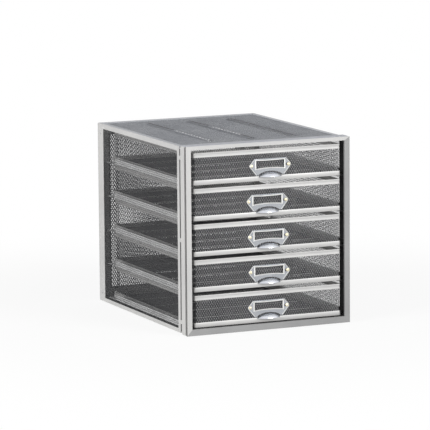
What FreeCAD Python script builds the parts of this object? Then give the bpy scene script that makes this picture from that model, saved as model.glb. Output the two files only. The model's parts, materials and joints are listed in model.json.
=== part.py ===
import FreeCAD, Part
import math
import os
import re

import Sketcher

# Desktop mini drawers: a wire-mesh case on a steel front frame, with five sliding mesh drawers.
# Frame: X to the right, Y to the back, Z up, origin at the middle of the footprint, millimetres.
# The drawers are numbered from the top, and each carries a label holder with a cup pull.

# Driving dimensions

OVERALL_SIZES = {
    "overall_width": 275,
    "overall_depth": 355,
    "overall_height": 290,
}

FRONT_FRAME_SIZES = {
    "frame_sheet": 1.2,
    "bezel_inset": 0.8,
    "stile_face": 8.6,
    "top_rail_face": 5.7,
    "bottom_rail_face": 9.8,
    "bezel_leg_depth": 8,
    "bezel_lip_depth": 3.5,
    "bezel_leg_share": 0.55,
    "bezel_wall_share": 0.12,
    "shadow_groove": 3.2,
    "hoop_reach": 18.5,
    "hoop_corner": 4,
}

CASE_SIZES = {
    "case_gap": 7,
    "case_top_drop": 2.5,
    "case_bottom_lift": 2.2,
    "edge_sheet": 0.8,
    "mesh_sheet": 0.6,
    "mesh_lap": 3,
    "strip_corner": 2,
    "side_front_strip": 8.2,
    "side_rear_strip": 22,
    "side_top_strip": 7.5,
    "side_bottom_strip": 6,
    "strap_overlap": 5,
    "tongue_height": 6,
    "tongue_lap": 6,
    "lid_side_strip": 8,
    "lid_front_strip": 6,
    "lid_rear_strip": 12,
    "lid_skirt": 3,
    "lid_tongue_share": 0.88,
    "back_strip": 20,
    "back_flange": 16,
    "back_flange_gap": 1,
    "lid_rib_width": 9,
    "lid_rib_rise": 2,
    "lid_rib_edge": 1.2,
    "lid_rib_spacing": 70,
    "lid_rib_front_margin": 34,
    "lid_rib_rear_margin": 48,
    "net_margin": 2,
    "net_bar_share": 0.22,
}

RUNNER_SIZES = {
    "runner_sheet": 1,
    "runner_setback": 9,
    "runner_height": 12,
    "runner_bearing": 4,
    "runner_stop_height": 8,
    "guide_rise": 2.5,
    "guide_width": 0.8,
    "guide_margin": 12,
    "seat_clearance": 0.3,
    "guide_clearance": 0.75,
}

DRAWER_SIZES = {
    "drawer_side_gap": 5.35,
    "drawer_rear_gap": 34.15,
    "drawer_recess": 4.4,
    "drawer_gap": 5.2,
    "drawer_lift": 1.4,
    "drawer_corner": 2.6,
    "rim_sheet": 0.8,
    "rim_height": 7.7,
    "band_height": 7.5,
    "band_flange": 8,
    "floor_rib_width": 6,
    "floor_rib_rise": 1.6,
    "floor_rib_margin": 14,
    "wall_net_margin": 8,
    "front_net_margin": 3,
}

PULL_SIZES = {
    "pull_sheet": 1,
    "card_width": 46.8,
    "card_low_share": 0.34,
    "card_high_share": 0.693,
    "card_low_crown": 1.6,
    "card_high_sag": 0.7,
    "bead_width": 2.6,
    "bead_margin": 0.4,
    "bead_rise": 1.4,
    "bead_edge": 0.6,
    "ear_reach": 34.7,
    "ear_height_share": 0.472,
    "ear_round": 3.4,
    "plate_margin": 1.2,
    "plate_foot": 24,
    "foot_round": 1,
    "cup_half_span": 23.4,
    "cup_end_wall": 1.4,
    "cup_bulge": 9.2,
    "cup_axis": 3,
    "cup_low": 6.3,
    "cup_band_clearance": 0.4,
    "pull_shift_1": 4.6,
    "pull_shift_2": -0.3,
    "pull_shift_3": 1.2,
    "pull_shift_4": 2.1,
    "pull_shift_5": 0.7,
}

RIVET_SIZES = {
    "rivet_offset": 30.8,
    "rivet_shank": 3,
    "rivet_head": 5.2,
    "rivet_crown": 1.6,
    "rivet_tail": 4.6,
    "rivet_tail_rise": 0.8,
    "rivet_clearance": 0.1,
    "backing_width": 82,
    "backing_margin": 1.5,
    "case_rivet_shank": 3,
    "case_rivet_head": 5.6,
    "case_rivet_crown": 1.1,
    "case_rivet_tail": 4.6,
    "case_rivet_inset": 11,
    "case_rivet_height": 14,
}

FOOT_SIZES = {
    "foot_diameter": 12,
    "foot_inset": 13,
}

DRAWER_COUNT = 5
TONGUE_HEIGHT_SHARES = (0.06, 0.5, 0.94)
LID_RIB_PLACES = (-1, 0, 1)
FLOOR_RIB_SHARES = (0.2, 0.4, 0.6, 0.8)
SIDE_NET_CELLS = (11, 6)
BACK_NET_CELLS = (11, 7)
LID_NET_CELLS = (11, 8)
RIB_BAY_CELLS = (3, 7)
TRAY_SIDE_CELLS = (10, 1)
TRAY_FRONT_CELLS = (4, 2)
FULL_TURN = 360
TOUCH = 0.001

doc = FreeCAD.newDocument("mini_drawers")
sheet = doc.addObject("Spreadsheet::Sheet", "Sizes")
row = 0
for group in (
    OVERALL_SIZES,
    FRONT_FRAME_SIZES,
    CASE_SIZES,
    RUNNER_SIZES,
    DRAWER_SIZES,
    PULL_SIZES,
    RIVET_SIZES,
    FOOT_SIZES,
):
    for alias, size in group.items():
        row += 1
        sheet.set(f"A{row}", alias)
        sheet.set(f"B{row}", str(size))
        sheet.setAlias(f"B{row}", alias)
doc.recompute()

# Derived places, as formulas of the sheet

HALF_WIDTH = "(overall_width / 2)"
REAR = "(overall_depth / 2)"
CUP_RADIUS = "(cup_bulge + pull_sheet)"
CUP_DROP = "(cup_low - cup_axis)"
CUP_REACH = f"sqrt({CUP_RADIUS} * {CUP_RADIUS} - {CUP_DROP} * {CUP_DROP})"
PULL_REACH = f"({CUP_REACH} - rim_sheet - drawer_recess)"
FRONT = f"({PULL_REACH} - overall_depth / 2)"
HOOP_FRONT = f"({FRONT} + frame_sheet + shadow_groove)"
HOOP_REAR = f"({FRONT} + hoop_reach)"
CASE_FRONT = f"({HOOP_REAR} + case_gap)"
CASE_TOP = "(overall_height - case_top_drop)"
CASE_BOTTOM = "case_bottom_lift"
SIDE_OUTER = f"({HALF_WIDTH} - frame_sheet)"
SIDE_INNER = f"({SIDE_OUTER} - edge_sheet)"
MESH_INNER = f"({SIDE_INNER} - mesh_sheet)"
BACK_FACE = f"({REAR} - edge_sheet)"
LID_TOP_FACE = f"({CASE_TOP} - edge_sheet)"
LID_MESH_LOW = f"({LID_TOP_FACE} - mesh_sheet)"

DRAWER_FRONT = f"({FRONT} + drawer_recess)"
DRAWER_REAR = f"({REAR} - drawer_rear_gap)"
DRAWER_SIDE = f"({HALF_WIDTH} - bezel_inset - stile_face - drawer_side_gap)"
LOWEST_DRAWER = "(bezel_inset + bottom_rail_face + drawer_lift)"
HIGHEST_DRAWER_TOP = "(overall_height - bezel_inset - top_rail_face - drawer_gap)"
DRAWER_STACK = f"({HIGHEST_DRAWER_TOP} + drawer_gap - {LOWEST_DRAWER})"
DRAWER_PITCH = f"({DRAWER_STACK} / {DRAWER_COUNT})"
DRAWER_HEIGHT = f"({DRAWER_PITCH} - drawer_gap)"
RIM_LOW = f"({DRAWER_HEIGHT} - rim_height)"
NET_HEIGHT = f"({RIM_LOW} - band_height)"
TRAY_SIDE = f"({DRAWER_SIDE} - rim_sheet)"
TRAY_FRONT = f"({DRAWER_FRONT} + rim_sheet)"
TRAY_REAR = f"({DRAWER_REAR} - rim_sheet)"
TRAY_LOW = "rim_sheet"
TRAY_HIGH = f"({DRAWER_HEIGHT} - rim_sheet)"
TRAY_CORNER = "(drawer_corner - rim_sheet)"
WALL_CORNER = f"({TRAY_CORNER} - mesh_sheet)"
RIM_CORNER = f"({WALL_CORNER} - rim_sheet)"
FLOOR_FACE = "(rim_sheet + mesh_sheet)"
BACKING_FRONT = f"({TRAY_FRONT} + mesh_sheet)"

RUNNER_FACE = MESH_INNER
LEDGE_TOP = f"({LOWEST_DRAWER} - seat_clearance)"
LEDGE_LOW = f"({LEDGE_TOP} - runner_sheet)"
LEDGE_REACH = f"({DRAWER_SIDE} - runner_bearing)"
RUNNER_FRONT = f"({FRONT} + runner_setback)"
STOP_FRONT = f"({DRAWER_REAR} + seat_clearance)"
RUNNER_REAR = f"({STOP_FRONT} + runner_sheet)"

EAR_HEIGHT = f"(band_height + ear_height_share * {NET_HEIGHT})"
CARD_LOW = f"(band_height + card_low_share * {NET_HEIGHT})"
CARD_HIGH = f"(band_height + card_high_share * {NET_HEIGHT})"
CARD_HALF = "(card_width / 2)"
BEAD_HALF = f"({CARD_HALF} + bead_width)"
BEAD_LOW = f"({CARD_LOW} - bead_width)"
BEAD_HIGH = f"({CARD_HIGH} + bead_width)"

SUB_PARTS = []


# Formulas and sketches


def in_sheet(formula):
    """Write a formula of plain size names as an expression on the sheet."""
    return re.sub(r"\b[a-z][a-z_0-9]*\b(?!\()", lambda word: "Sizes." + word.group(), str(formula))


def value(formula):
    """Work out a formula of size names as a number."""
    return float(sheet.evalExpression(in_sheet(formula)))


def rectangle(left, right, low, high):
    """Sharp corners of a rectangle."""
    return [(left, low), (right, low), (right, high), (left, high)]


def rounded(left, right, low, high, radius):
    """Corner circles of a rectangle with round corners."""
    return [
        (f"{left} + {radius}", f"{low} + {radius}", radius),
        (f"{right} - {radius}", f"{low} + {radius}", radius),
        (f"{right} - {radius}", f"{high} - {radius}", radius),
        (f"{left} + {radius}", f"{high} - {radius}", radius),
    ]


def slot_across(left, right, middle, width):
    """End circles of a slot along the first sketch axis."""
    radius = f"({width} / 2)"
    return [(f"{left} + {radius}", middle, radius), (f"{right} - {radius}", middle, radius)]


def slot_along(middle, low, high, width):
    """End circles of a slot along the second sketch axis."""
    radius = f"({width} / 2)"
    return [(middle, f"{low} + {radius}", radius), (middle, f"{high} - {radius}", radius)]


def circle(across, along, radius):
    """A full circle."""
    return [(across, along, radius)]


def dimension(sketch, kind, geometry, point, formula):
    """Hold one point of a sketch at a formula's distance from the origin."""
    link = sketch.addConstraint(Sketcher.Constraint(kind, -1, 1, geometry, point, value(formula)))
    sketch.setExpression(f"Constraints[{link}]", in_sheet(formula))


def hold_point(sketch, geometry, point, across, along):
    """Hold one point of a sketch in both directions."""
    dimension(sketch, "DistanceX", geometry, point, across)
    dimension(sketch, "DistanceY", geometry, point, along)


def hold_radius(sketch, geometry, formula):
    """Give a circle or an arc its radius."""
    link = sketch.addConstraint(Sketcher.Constraint("Radius", geometry, value(formula)))
    sketch.setExpression(f"Constraints[{link}]", in_sheet(formula))


def draw_polygon(sketch, corners):
    """Draw a closed outline with sharp corners."""
    points = [FreeCAD.Vector(value(across), value(along), 0) for across, along in corners]
    lines = []
    for index, point in enumerate(points):
        following = points[(index + 1) % len(points)]
        lines.append(sketch.addGeometry(Part.LineSegment(point, following), False))
    for index, line in enumerate(lines):
        following = lines[(index + 1) % len(lines)]
        sketch.addConstraint(Sketcher.Constraint("Coincident", line, 2, following, 1))
        hold_point(sketch, line, 1, *corners[index])


def draw_circle(sketch, across, along, radius):
    """Draw a full circle."""
    centre = FreeCAD.Vector(value(across), value(along), 0)
    ring = sketch.addGeometry(Part.Circle(centre, FreeCAD.Vector(0, 0, 1), value(radius)), False)
    hold_point(sketch, ring, 3, across, along)
    hold_radius(sketch, ring, radius)


def draw_round(sketch, corners):
    """Draw a closed outline that runs round its corner circles, anticlockwise."""
    centres = [FreeCAD.Vector(value(across), value(along), 0) for across, along, radius in corners]
    radii = [value(radius) for across, along, radius in corners]
    count = len(corners)
    headings = []
    for index in range(count):
        run = centres[(index + 1) % count] - centres[index]
        headings.append(math.atan2(run.y, run.x) - math.pi / 2)
    arcs = []
    for index in range(count):
        start = headings[index - 1]
        end = headings[index]
        while end < start:
            end += 2 * math.pi
        ring = Part.Circle(centres[index], FreeCAD.Vector(0, 0, 1), radii[index])
        arcs.append(sketch.addGeometry(Part.ArcOfCircle(ring, start, end), False))
        hold_point(sketch, arcs[-1], 3, *corners[index][:2])
        hold_radius(sketch, arcs[-1], corners[index][2])
    for index in range(count):
        following = (index + 1) % count
        outward = FreeCAD.Vector(math.cos(headings[index]), math.sin(headings[index]), 0)
        start = centres[index] + outward * radii[index]
        end = centres[following] + outward * radii[following]
        line = sketch.addGeometry(Part.LineSegment(start, end), False)
        sketch.addConstraint(Sketcher.Constraint("Tangent", arcs[index], 2, line, 1))
        sketch.addConstraint(Sketcher.Constraint("Tangent", line, 2, arcs[following], 1))


def draw(sketch, corners):
    """Draw one closed outline, sharp or round."""
    if len(corners) == 1:
        draw_circle(sketch, *corners[0])
    elif len(corners[0]) == 2:
        draw_polygon(sketch, corners)
    else:
        draw_round(sketch, corners)


def new_sketch(body, name, plane, level):
    """Start a sketch on an origin plane of its body, moved to a level along the world axis."""
    sketch = body.newObject("Sketcher::SketchObject", name)
    role = f"{plane}_Plane"
    support = [feature for feature in body.Origin.OriginFeatures if feature.Role == role][0]
    sketch.AttachmentSupport = [(support, "")]
    sketch.MapMode = "FlatFace"
    offset = f"-({level})" if plane == "XZ" else str(level)
    sketch.setExpression("AttachmentOffset.Base.z", in_sheet(offset))
    return sketch


def extrude(kind, body, name, plane, level, length, outlines):
    """Pad or pocket some outlines from a level, towards the positive world axis."""
    sketch = new_sketch(body, f"{name}_outline", plane, level)
    for corners in outlines:
        draw(sketch, corners)
    feature = body.newObject(f"PartDesign::{kind}", name)
    feature.Profile = sketch
    feature.setExpression("Length", in_sheet(length))
    backwards = plane == "XZ"
    feature.Reversed = backwards if kind == "Pad" else not backwards
    return feature


def slab(body, name, plane, level, length, *outlines):
    """Add sheet between a level and a length past it."""
    return extrude("Pad", body, name, plane, level, length, outlines)


def cut(body, name, plane, level, length, *outlines):
    """Cut outlines between a level and a length past it, and check that sheet went away."""
    doc.recompute()
    before = body.Shape.Volume
    feature = extrude("Pocket", body, name, plane, level, length, outlines)
    doc.recompute()
    if body.Shape.Volume >= before:
        raise RuntimeError(f"{body.Label}: {name} cuts nothing")
    return feature


def open_net(body, name, plane, level, length, edges, cells):
    """Cut a coarse net over an area: a grid of openings with bars between them."""
    left, right, low, high = edges
    columns, rows = cells
    width = f"(({right} - {left}) / {columns})"
    height = f"(({high} - {low}) / {rows})"
    bar = f"(net_bar_share * {width} / 2)"
    first_cell = (left, f"({left} + {width})", low, f"({low} + {height})")
    opening = cut(body, f"{name}_opening", plane, level, length, rectangle(*inset(first_cell, bar)))
    pattern = body.newObject("PartDesign::LinearPattern", f"{name}_net")
    pattern.Originals = [opening]
    pattern.Direction = (opening.Profile[0], ["H_Axis"])
    pattern.Direction2 = (opening.Profile[0], ["V_Axis"])
    pattern.Mode = "Spacing"
    pattern.Mode2 = "Spacing"
    pattern.setExpression("Offset", in_sheet(width))
    pattern.setExpression("Offset2", in_sheet(height))
    pattern.Occurrences = columns
    pattern.Occurrences2 = rows
    body.Tip = pattern


def inset(edges, margin):
    """Move the four edges of an area inwards."""
    left, right, low, high = edges
    return f"({left} + {margin})", f"({right} - {margin})", f"({low} + {margin})", f"({high} - {margin})"


def new_body(label):
    """Start a sub-part, which goes into a file of its own."""
    body = doc.addObject("PartDesign::Body", label)
    body.Label = label
    SUB_PARTS.append(body)
    return body


def side_level(side, outer, thickness):
    """Level of a sheet whose outer face is that far from the middle, on the left or the right."""
    return f"-({outer})" if side < 0 else f"({outer} - {thickness})"


def edges_at(shape, picked):
    """Names of the straight edges whose two ends pass a test."""
    names = []
    for index, edge in enumerate(shape.Edges):
        ends = [vertex.Point for vertex in edge.Vertexes]
        if len(ends) == 2 and picked(ends[0], ends[1]):
            names.append(f"Edge{index + 1}")
    return names


def dress(body, kind, name, size_name, formula, names):
    """Fillet or chamfer named edges of a body."""
    base = body.Tip
    feature = body.newObject(f"PartDesign::{kind}", name)
    feature.Base = (base, names)
    feature.setExpression(size_name, in_sheet(formula))
    body.Tip = feature
    return feature


# Front frame: four mitred bezel bars, carried by the turned-in front edge of a deep hoop


def bezel_sides(share):
    """Left, right, low and high edge of the bezel at a share of its face width."""
    left = f"(bezel_inset + ({share}) * stile_face - overall_width / 2)"
    right = f"(overall_width / 2 - bezel_inset - ({share}) * stile_face)"
    low = f"(bezel_inset + ({share}) * bottom_rail_face)"
    high = f"(overall_height - bezel_inset - ({share}) * top_rail_face)"
    return left, right, low, high


def mitred(bar, outer_share, inner_share):
    """Outline of one bar between two shares of the face, with its mitres on the corner lines."""
    left, right, low, high = bezel_sides(outer_share)
    inner_left, inner_right, inner_low, inner_high = bezel_sides(inner_share)
    outlines = {
        "top": [(left, high), (inner_left, inner_high), (inner_right, inner_high), (right, high)],
        "bottom": [(left, low), (right, low), (inner_right, inner_low), (inner_left, inner_low)],
        "left": [(left, low), (inner_left, inner_low), (inner_left, inner_high), (left, high)],
        "right": [(right, low), (right, high), (inner_right, inner_high), (inner_right, inner_low)],
    }
    return outlines[bar]


def make_bezel_bar(bar):
    """Channel bar with a flat face, a leg into the hoop and a short lip round the opening."""
    body = new_body(f"front_bezel_{bar}")
    behind = f"({FRONT} + frame_sheet)"
    leg = mitred(bar, "bezel_leg_share", "bezel_leg_share + bezel_wall_share")
    lip = mitred(bar, "1 - bezel_wall_share", "1")
    slab(body, "face", "XZ", FRONT, "frame_sheet", mitred(bar, "0", "1"))
    slab(body, "leg", "XZ", behind, "bezel_leg_depth - frame_sheet", leg)
    slab(body, "lip", "XZ", behind, "bezel_lip_depth - frame_sheet", lip)


def make_hoop():
    """Deep band round the front, whose front edge turns in to the bezel's legs."""
    body = new_body("front_hoop")
    outer = rounded(f"-{HALF_WIDTH}", HALF_WIDTH, "0", "overall_height", "hoop_corner")
    inner_side = f"({HALF_WIDTH} - frame_sheet)"
    inner_high = "(overall_height - frame_sheet)"
    inner_corner = "(hoop_corner - frame_sheet)"
    inner = rounded(f"-{inner_side}", inner_side, "frame_sheet", inner_high, inner_corner)
    flange = rectangle(*bezel_sides("bezel_leg_share"))
    slab(body, "band", "XZ", HOOP_FRONT, "hoop_reach - frame_sheet - shadow_groove", outer, inner)
    slab(body, "turned_edge", "XZ", HOOP_FRONT, "frame_sheet", outer, flange)


# Case: edge strips with the mesh behind them


def make_side(side, label):
    """Side panel: a strip frame with three tongues under the hoop, and the mesh inside it."""
    frame = new_body(f"{label}_side_frame")
    level = side_level(side, SIDE_OUTER, "edge_sheet")
    outer = rounded(CASE_FRONT, REAR, CASE_BOTTOM, CASE_TOP, "strip_corner")
    window_front = f"({CASE_FRONT} + side_front_strip)"
    window_rear = f"({REAR} - side_rear_strip)"
    window_low = f"({CASE_BOTTOM} + side_bottom_strip)"
    window_high = f"({CASE_TOP} - side_top_strip)"
    window = rounded(window_front, window_rear, window_low, window_high, "strip_corner")
    slab(frame, "strips", "YZ", level, "edge_sheet", outer, window)
    tongue_front = f"({HOOP_REAR} - tongue_lap)"
    tongue_rear = f"({CASE_FRONT} + strip_corner)"
    for share in TONGUE_HEIGHT_SHARES:
        low = f"({CASE_BOTTOM} + {share} * ({CASE_TOP} - {CASE_BOTTOM}) - tongue_height / 2)"
        tongue = rectangle(tongue_front, tongue_rear, low, f"({low} + tongue_height)")
        slab(frame, "tongue", "YZ", level, "edge_sheet", tongue)
    hole_radius = "case_rivet_shank / 2 + rivet_clearance"
    holes = [circle(CASE_RIVET_DEPTH, height, hole_radius) for height in CASE_RIVET_HEIGHTS]
    cut(frame, "rivet_holes", "YZ", level, "edge_sheet", *holes)
    mesh = new_body(f"{label}_side_mesh")
    seen = (window_front, window_rear, window_low, window_high)
    mesh_level = side_level(side, SIDE_INNER, "mesh_sheet")
    slab(mesh, "sheet", "YZ", mesh_level, "mesh_sheet", rectangle(*inset(seen, "-mesh_lap")))
    open_net(mesh, "panel", "YZ", mesh_level, "mesh_sheet", inset(seen, "net_margin"), SIDE_NET_CELLS)


def make_strap(side, label):
    """Dark strap inside the gap between the hoop and the case, which carries the tongues."""
    body = new_body(f"{label}_front_strap")
    outline = rectangle(
        f"({HOOP_REAR} - strap_overlap)",
        f"({CASE_FRONT} + side_front_strip - mesh_lap)",
        f"({CASE_BOTTOM} + lid_skirt + back_flange_gap)",
        f"({CASE_TOP} - lid_skirt - back_flange_gap)",
    )
    slab(body, "strap", "YZ", side_level(side, SIDE_INNER, "mesh_sheet"), "mesh_sheet", outline)


def make_back():
    """Back panel: a wide strip frame with a flange along each side, and the mesh inside it."""
    frame = new_body("back_frame")
    outer = rectangle(f"-{SIDE_INNER}", SIDE_INNER, CASE_BOTTOM, CASE_TOP)
    window_side = f"({SIDE_INNER} - back_strip)"
    window_low = f"({CASE_BOTTOM} + back_strip)"
    window_high = f"({CASE_TOP} - back_strip)"
    window = rounded(f"-{window_side}", window_side, window_low, window_high, "strip_corner")
    slab(frame, "strips", "XZ", BACK_FACE, "edge_sheet", outer, window)
    flange = rectangle(
        f"({BACK_FACE} - back_flange)",
        BACK_FACE,
        f"({CASE_BOTTOM} + lid_skirt + back_flange_gap)",
        f"({CASE_TOP} - lid_skirt - back_flange_gap)",
    )
    hole_radius = "case_rivet_shank / 2 + rivet_clearance"
    for side in (-1, 1):
        level = side_level(side, SIDE_INNER, "edge_sheet")
        slab(frame, "flange", "YZ", level, "edge_sheet", flange)
        holes = [circle(CASE_RIVET_DEPTH, height, hole_radius) for height in CASE_RIVET_HEIGHTS]
        cut(frame, "rivet_holes", "YZ", level, "edge_sheet", *holes)
    mesh = new_body("back_mesh")
    seen = (f"-{window_side}", window_side, window_low, window_high)
    mesh_level = f"({BACK_FACE} - mesh_sheet)"
    slab(mesh, "sheet", "XZ", mesh_level, "mesh_sheet", rectangle(*inset(seen, "-mesh_lap")))
    open_net(mesh, "panel", "XZ", mesh_level, "mesh_sheet", inset(seen, "net_margin"), BACK_NET_CELLS)


def make_lid(name, ring_level, skirt_level, mesh_level):
    """Strip frame with a skirt all round, the sheet inside it, and the edges of the sheet's net."""
    frame = new_body(f"{name}_frame")
    outer = rectangle(f"-{SIDE_INNER}", SIDE_INNER, CASE_FRONT, BACK_FACE)
    window_side = f"({SIDE_INNER} - lid_side_strip)"
    window_front = f"({CASE_FRONT} + lid_front_strip)"
    window_rear = f"({BACK_FACE} - lid_rear_strip)"
    window = rounded(f"-{window_side}", window_side, window_front, window_rear, "strip_corner")
    skirt_side = f"({SIDE_INNER} - edge_sheet)"
    skirt_front = f"({CASE_FRONT} + edge_sheet)"
    skirt_inner = rectangle(f"-{skirt_side}", skirt_side, skirt_front, f"({BACK_FACE} - edge_sheet)")
    slab(frame, "strips", "XY", ring_level, "edge_sheet", outer, window)
    slab(frame, "skirt", "XY", skirt_level, "lid_skirt", outer, skirt_inner)
    mesh = new_body(f"{name}_mesh")
    seen = (f"-{window_side}", window_side, window_front, window_rear)
    slab(mesh, "sheet", "XY", mesh_level, "mesh_sheet", rectangle(*inset(seen, "-mesh_lap")))
    return frame, mesh, inset(seen, "net_margin")


def make_top():
    """Top panel, with a broad tongue under the hoop and three embossed ribs in its mesh."""
    frame, mesh, net = make_lid("top", LID_TOP_FACE, f"({CASE_TOP} - lid_skirt)", LID_MESH_LOW)
    tongue_side = f"(lid_tongue_share * {SIDE_INNER})"
    tongue_front = f"({HOOP_REAR} - tongue_lap)"
    tongue_rear = f"({CASE_FRONT} + edge_sheet)"
    tongue = rectangle(f"-{tongue_side}", tongue_side, tongue_front, tongue_rear)
    slab(frame, "tongue", "XY", LID_TOP_FACE, "edge_sheet", tongue)
    rib_front = f"({CASE_FRONT} + lid_rib_front_margin)"
    rib_rear = f"({REAR} - lid_rib_rear_margin)"
    for place in LID_RIB_PLACES:
        middle = f"({place} * lid_rib_spacing)"
        rib = slot_along(middle, rib_front, rib_rear, "lid_rib_width")
        slab(mesh, "rib", "XY", LID_TOP_FACE, "lid_rib_rise", rib)
    doc.recompute()
    crest = value(f"{LID_TOP_FACE} + lid_rib_rise")
    rim = [
        f"Edge{index + 1}"
        for index, edge in enumerate(mesh.Shape.Edges)
        if min(vertex.Z for vertex in edge.Vertexes) > crest - TOUCH
    ]
    dress(mesh, "Fillet", "rib_edges", "Radius", "lid_rib_edge", rim)
    doc.recompute()
    hollow_width = "(lid_rib_width - 2 * mesh_sheet)"
    hollow_front = f"({rib_front} + mesh_sheet)"
    hollow_rear = f"({rib_rear} - mesh_sheet)"
    hollows = []
    for place in LID_RIB_PLACES:
        hollows.append(slot_along(f"({place} * lid_rib_spacing)", hollow_front, hollow_rear, hollow_width))
    cut(mesh, "rib_hollows", "XY", LID_MESH_LOW, "lid_rib_rise", *hollows)
    left, right, low, high = net
    rib_clear = "(lid_rib_width / 2 + net_margin)"
    starts = [left] + [f"({place} * lid_rib_spacing + {rib_clear})" for place in LID_RIB_PLACES]
    ends = [f"({place} * lid_rib_spacing - {rib_clear})" for place in LID_RIB_PLACES] + [right]
    for start, end in zip(starts, ends):
        open_net(mesh, "bay", "XY", LID_MESH_LOW, "mesh_sheet", (start, end, low, high), RIB_BAY_CELLS)


def make_bottom():
    """Bottom panel, plain mesh in a strip frame."""
    mesh_level = f"({CASE_BOTTOM} + edge_sheet)"
    frame, mesh, net = make_lid("bottom", CASE_BOTTOM, CASE_BOTTOM, mesh_level)
    open_net(mesh, "panel", "XY", mesh_level, "mesh_sheet", net, LID_NET_CELLS)


def make_feet():
    """Two rubber pads under the back corners, which level the case with the front frame."""
    body = new_body("rear_feet")
    body.AllowCompound = True
    radius = "(foot_diameter / 2)"
    depth = f"({REAR} - foot_inset)"
    across = f"({SIDE_INNER} - foot_inset)"
    slab(body, "pads", "XY", "0", CASE_BOTTOM, circle(f"-{across}", depth, radius), circle(across, depth, radius))


# Runners: an L-shaped ledge for each side of each drawer


def make_runner(side, label, drawer):
    """Runner with a flange on the side panel, a guide beside the drawer and a stop behind it."""
    body = new_body(f"{label}_runner_{drawer}")
    sign = f"({side})"
    flange_top = f"({LEDGE_LOW} + runner_height)"
    ledge = rectangle(f"{sign} * {LEDGE_REACH}", f"{sign} * {RUNNER_FACE}", LEDGE_LOW, LEDGE_TOP)
    flange = rectangle(
        f"{sign} * ({RUNNER_FACE} - runner_sheet)",
        f"{sign} * {RUNNER_FACE}",
        LEDGE_LOW,
        flange_top,
    )
    guide_inner = f"({DRAWER_SIDE} + guide_clearance)"
    guide = rectangle(
        f"{sign} * {guide_inner}",
        f"{sign} * ({guide_inner} + guide_width)",
        LEDGE_TOP,
        f"({LEDGE_TOP} + guide_rise)",
    )
    stop = rectangle(
        f"{sign} * {LEDGE_REACH}",
        f"{sign} * ({guide_inner} + guide_width)",
        LEDGE_TOP,
        f"({LEDGE_TOP} + runner_stop_height)",
    )
    run = f"({RUNNER_REAR} - {RUNNER_FRONT})"
    guide_front = f"({RUNNER_FRONT} + guide_margin)"
    slab(body, "ledge", "XZ", RUNNER_FRONT, run, ledge)
    slab(body, "flange", "XZ", RUNNER_FRONT, run, flange)
    slab(body, "guide", "XZ", guide_front, f"({RUNNER_REAR} - {guide_front})", guide)
    slab(body, "stop", "XZ", STOP_FRONT, "runner_sheet", stop)
    lift_to_drawer(body, drawer)


def lift_to_drawer(body, drawer):
    """Raise a sub-part drawn at the lowest drawer to the level of another."""
    steps = DRAWER_COUNT - drawer
    body.setExpression("Placement.Base.z", in_sheet(f"{steps} * {DRAWER_PITCH}"))


# Drawers


def make_tray(drawer):
    """Mesh tray folded up from one sheet, with embossed ribs across its floor."""
    body = new_body(f"drawer_{drawer}_tray")
    outer = rounded(f"-{TRAY_SIDE}", TRAY_SIDE, TRAY_FRONT, TRAY_REAR, TRAY_CORNER)
    wall_side = f"({TRAY_SIDE} - mesh_sheet)"
    wall_rear = f"({TRAY_REAR} - mesh_sheet)"
    inner = rounded(f"-{wall_side}", wall_side, BACKING_FRONT, wall_rear, WALL_CORNER)
    low = f"({LOWEST_DRAWER} + {TRAY_LOW})"
    floor = f"({LOWEST_DRAWER} + {FLOOR_FACE})"
    slab(body, "blank", "XY", low, f"({TRAY_HIGH} - {TRAY_LOW})", outer)
    cut(body, "inside", "XY", floor, f"({TRAY_HIGH} - {FLOOR_FACE})", inner)
    rib_side = f"({TRAY_SIDE} - floor_rib_margin)"
    hollow_side = f"({rib_side} - mesh_sheet)"
    ribs = []
    hollows = []
    for share in FLOOR_RIB_SHARES:
        depth = f"({TRAY_FRONT} + {share} * ({TRAY_REAR} - {TRAY_FRONT}))"
        ribs.append(slot_across(f"-{rib_side}", rib_side, depth, "floor_rib_width"))
        width = "(floor_rib_width - 2 * mesh_sheet)"
        hollows.append(slot_across(f"-{hollow_side}", hollow_side, depth, width))
    slab(body, "ribs", "XY", floor, "floor_rib_rise", *ribs)
    cut(body, "rib_hollows", "XY", low, "floor_rib_rise", *hollows)
    hole_radius = "(rivet_shank / 2 + rivet_clearance)"
    holes = rivet_circles(hole_radius, f"pull_shift_{drawer}")
    cut(body, "rivet_holes", "XZ", TRAY_FRONT, "mesh_sheet", *holes)
    open_tray_walls(body, drawer)
    lift_to_drawer(body, drawer)


def open_tray_walls(body, drawer):
    """Cut the net of the tray's walls, clear of the label holder at the front."""
    low = f"({LOWEST_DRAWER} + band_height + backing_margin)"
    high = f"({LOWEST_DRAWER} + {RIM_LOW} - backing_margin)"
    front = f"({TRAY_FRONT} + wall_net_margin)"
    rear = f"({TRAY_REAR} - wall_net_margin)"
    side_edges = (front, rear, low, high)
    open_net(body, "side", "YZ", f"-{TRAY_SIDE}", f"2 * {TRAY_SIDE}", side_edges, TRAY_SIDE_CELLS)
    length = f"({TRAY_REAR} - {TRAY_FRONT})"
    clear = "(backing_width / 2 + front_net_margin)"
    left = f"({TRAY_SIDE} - wall_net_margin)"
    bays = (
        (f"-{left}", f"(pull_shift_{drawer} - {clear})"),
        (f"(pull_shift_{drawer} + {clear})", left),
    )
    for start, end in bays:
        open_net(body, "front", "XZ", TRAY_FRONT, length, (start, end, low, high), TRAY_FRONT_CELLS)


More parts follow.
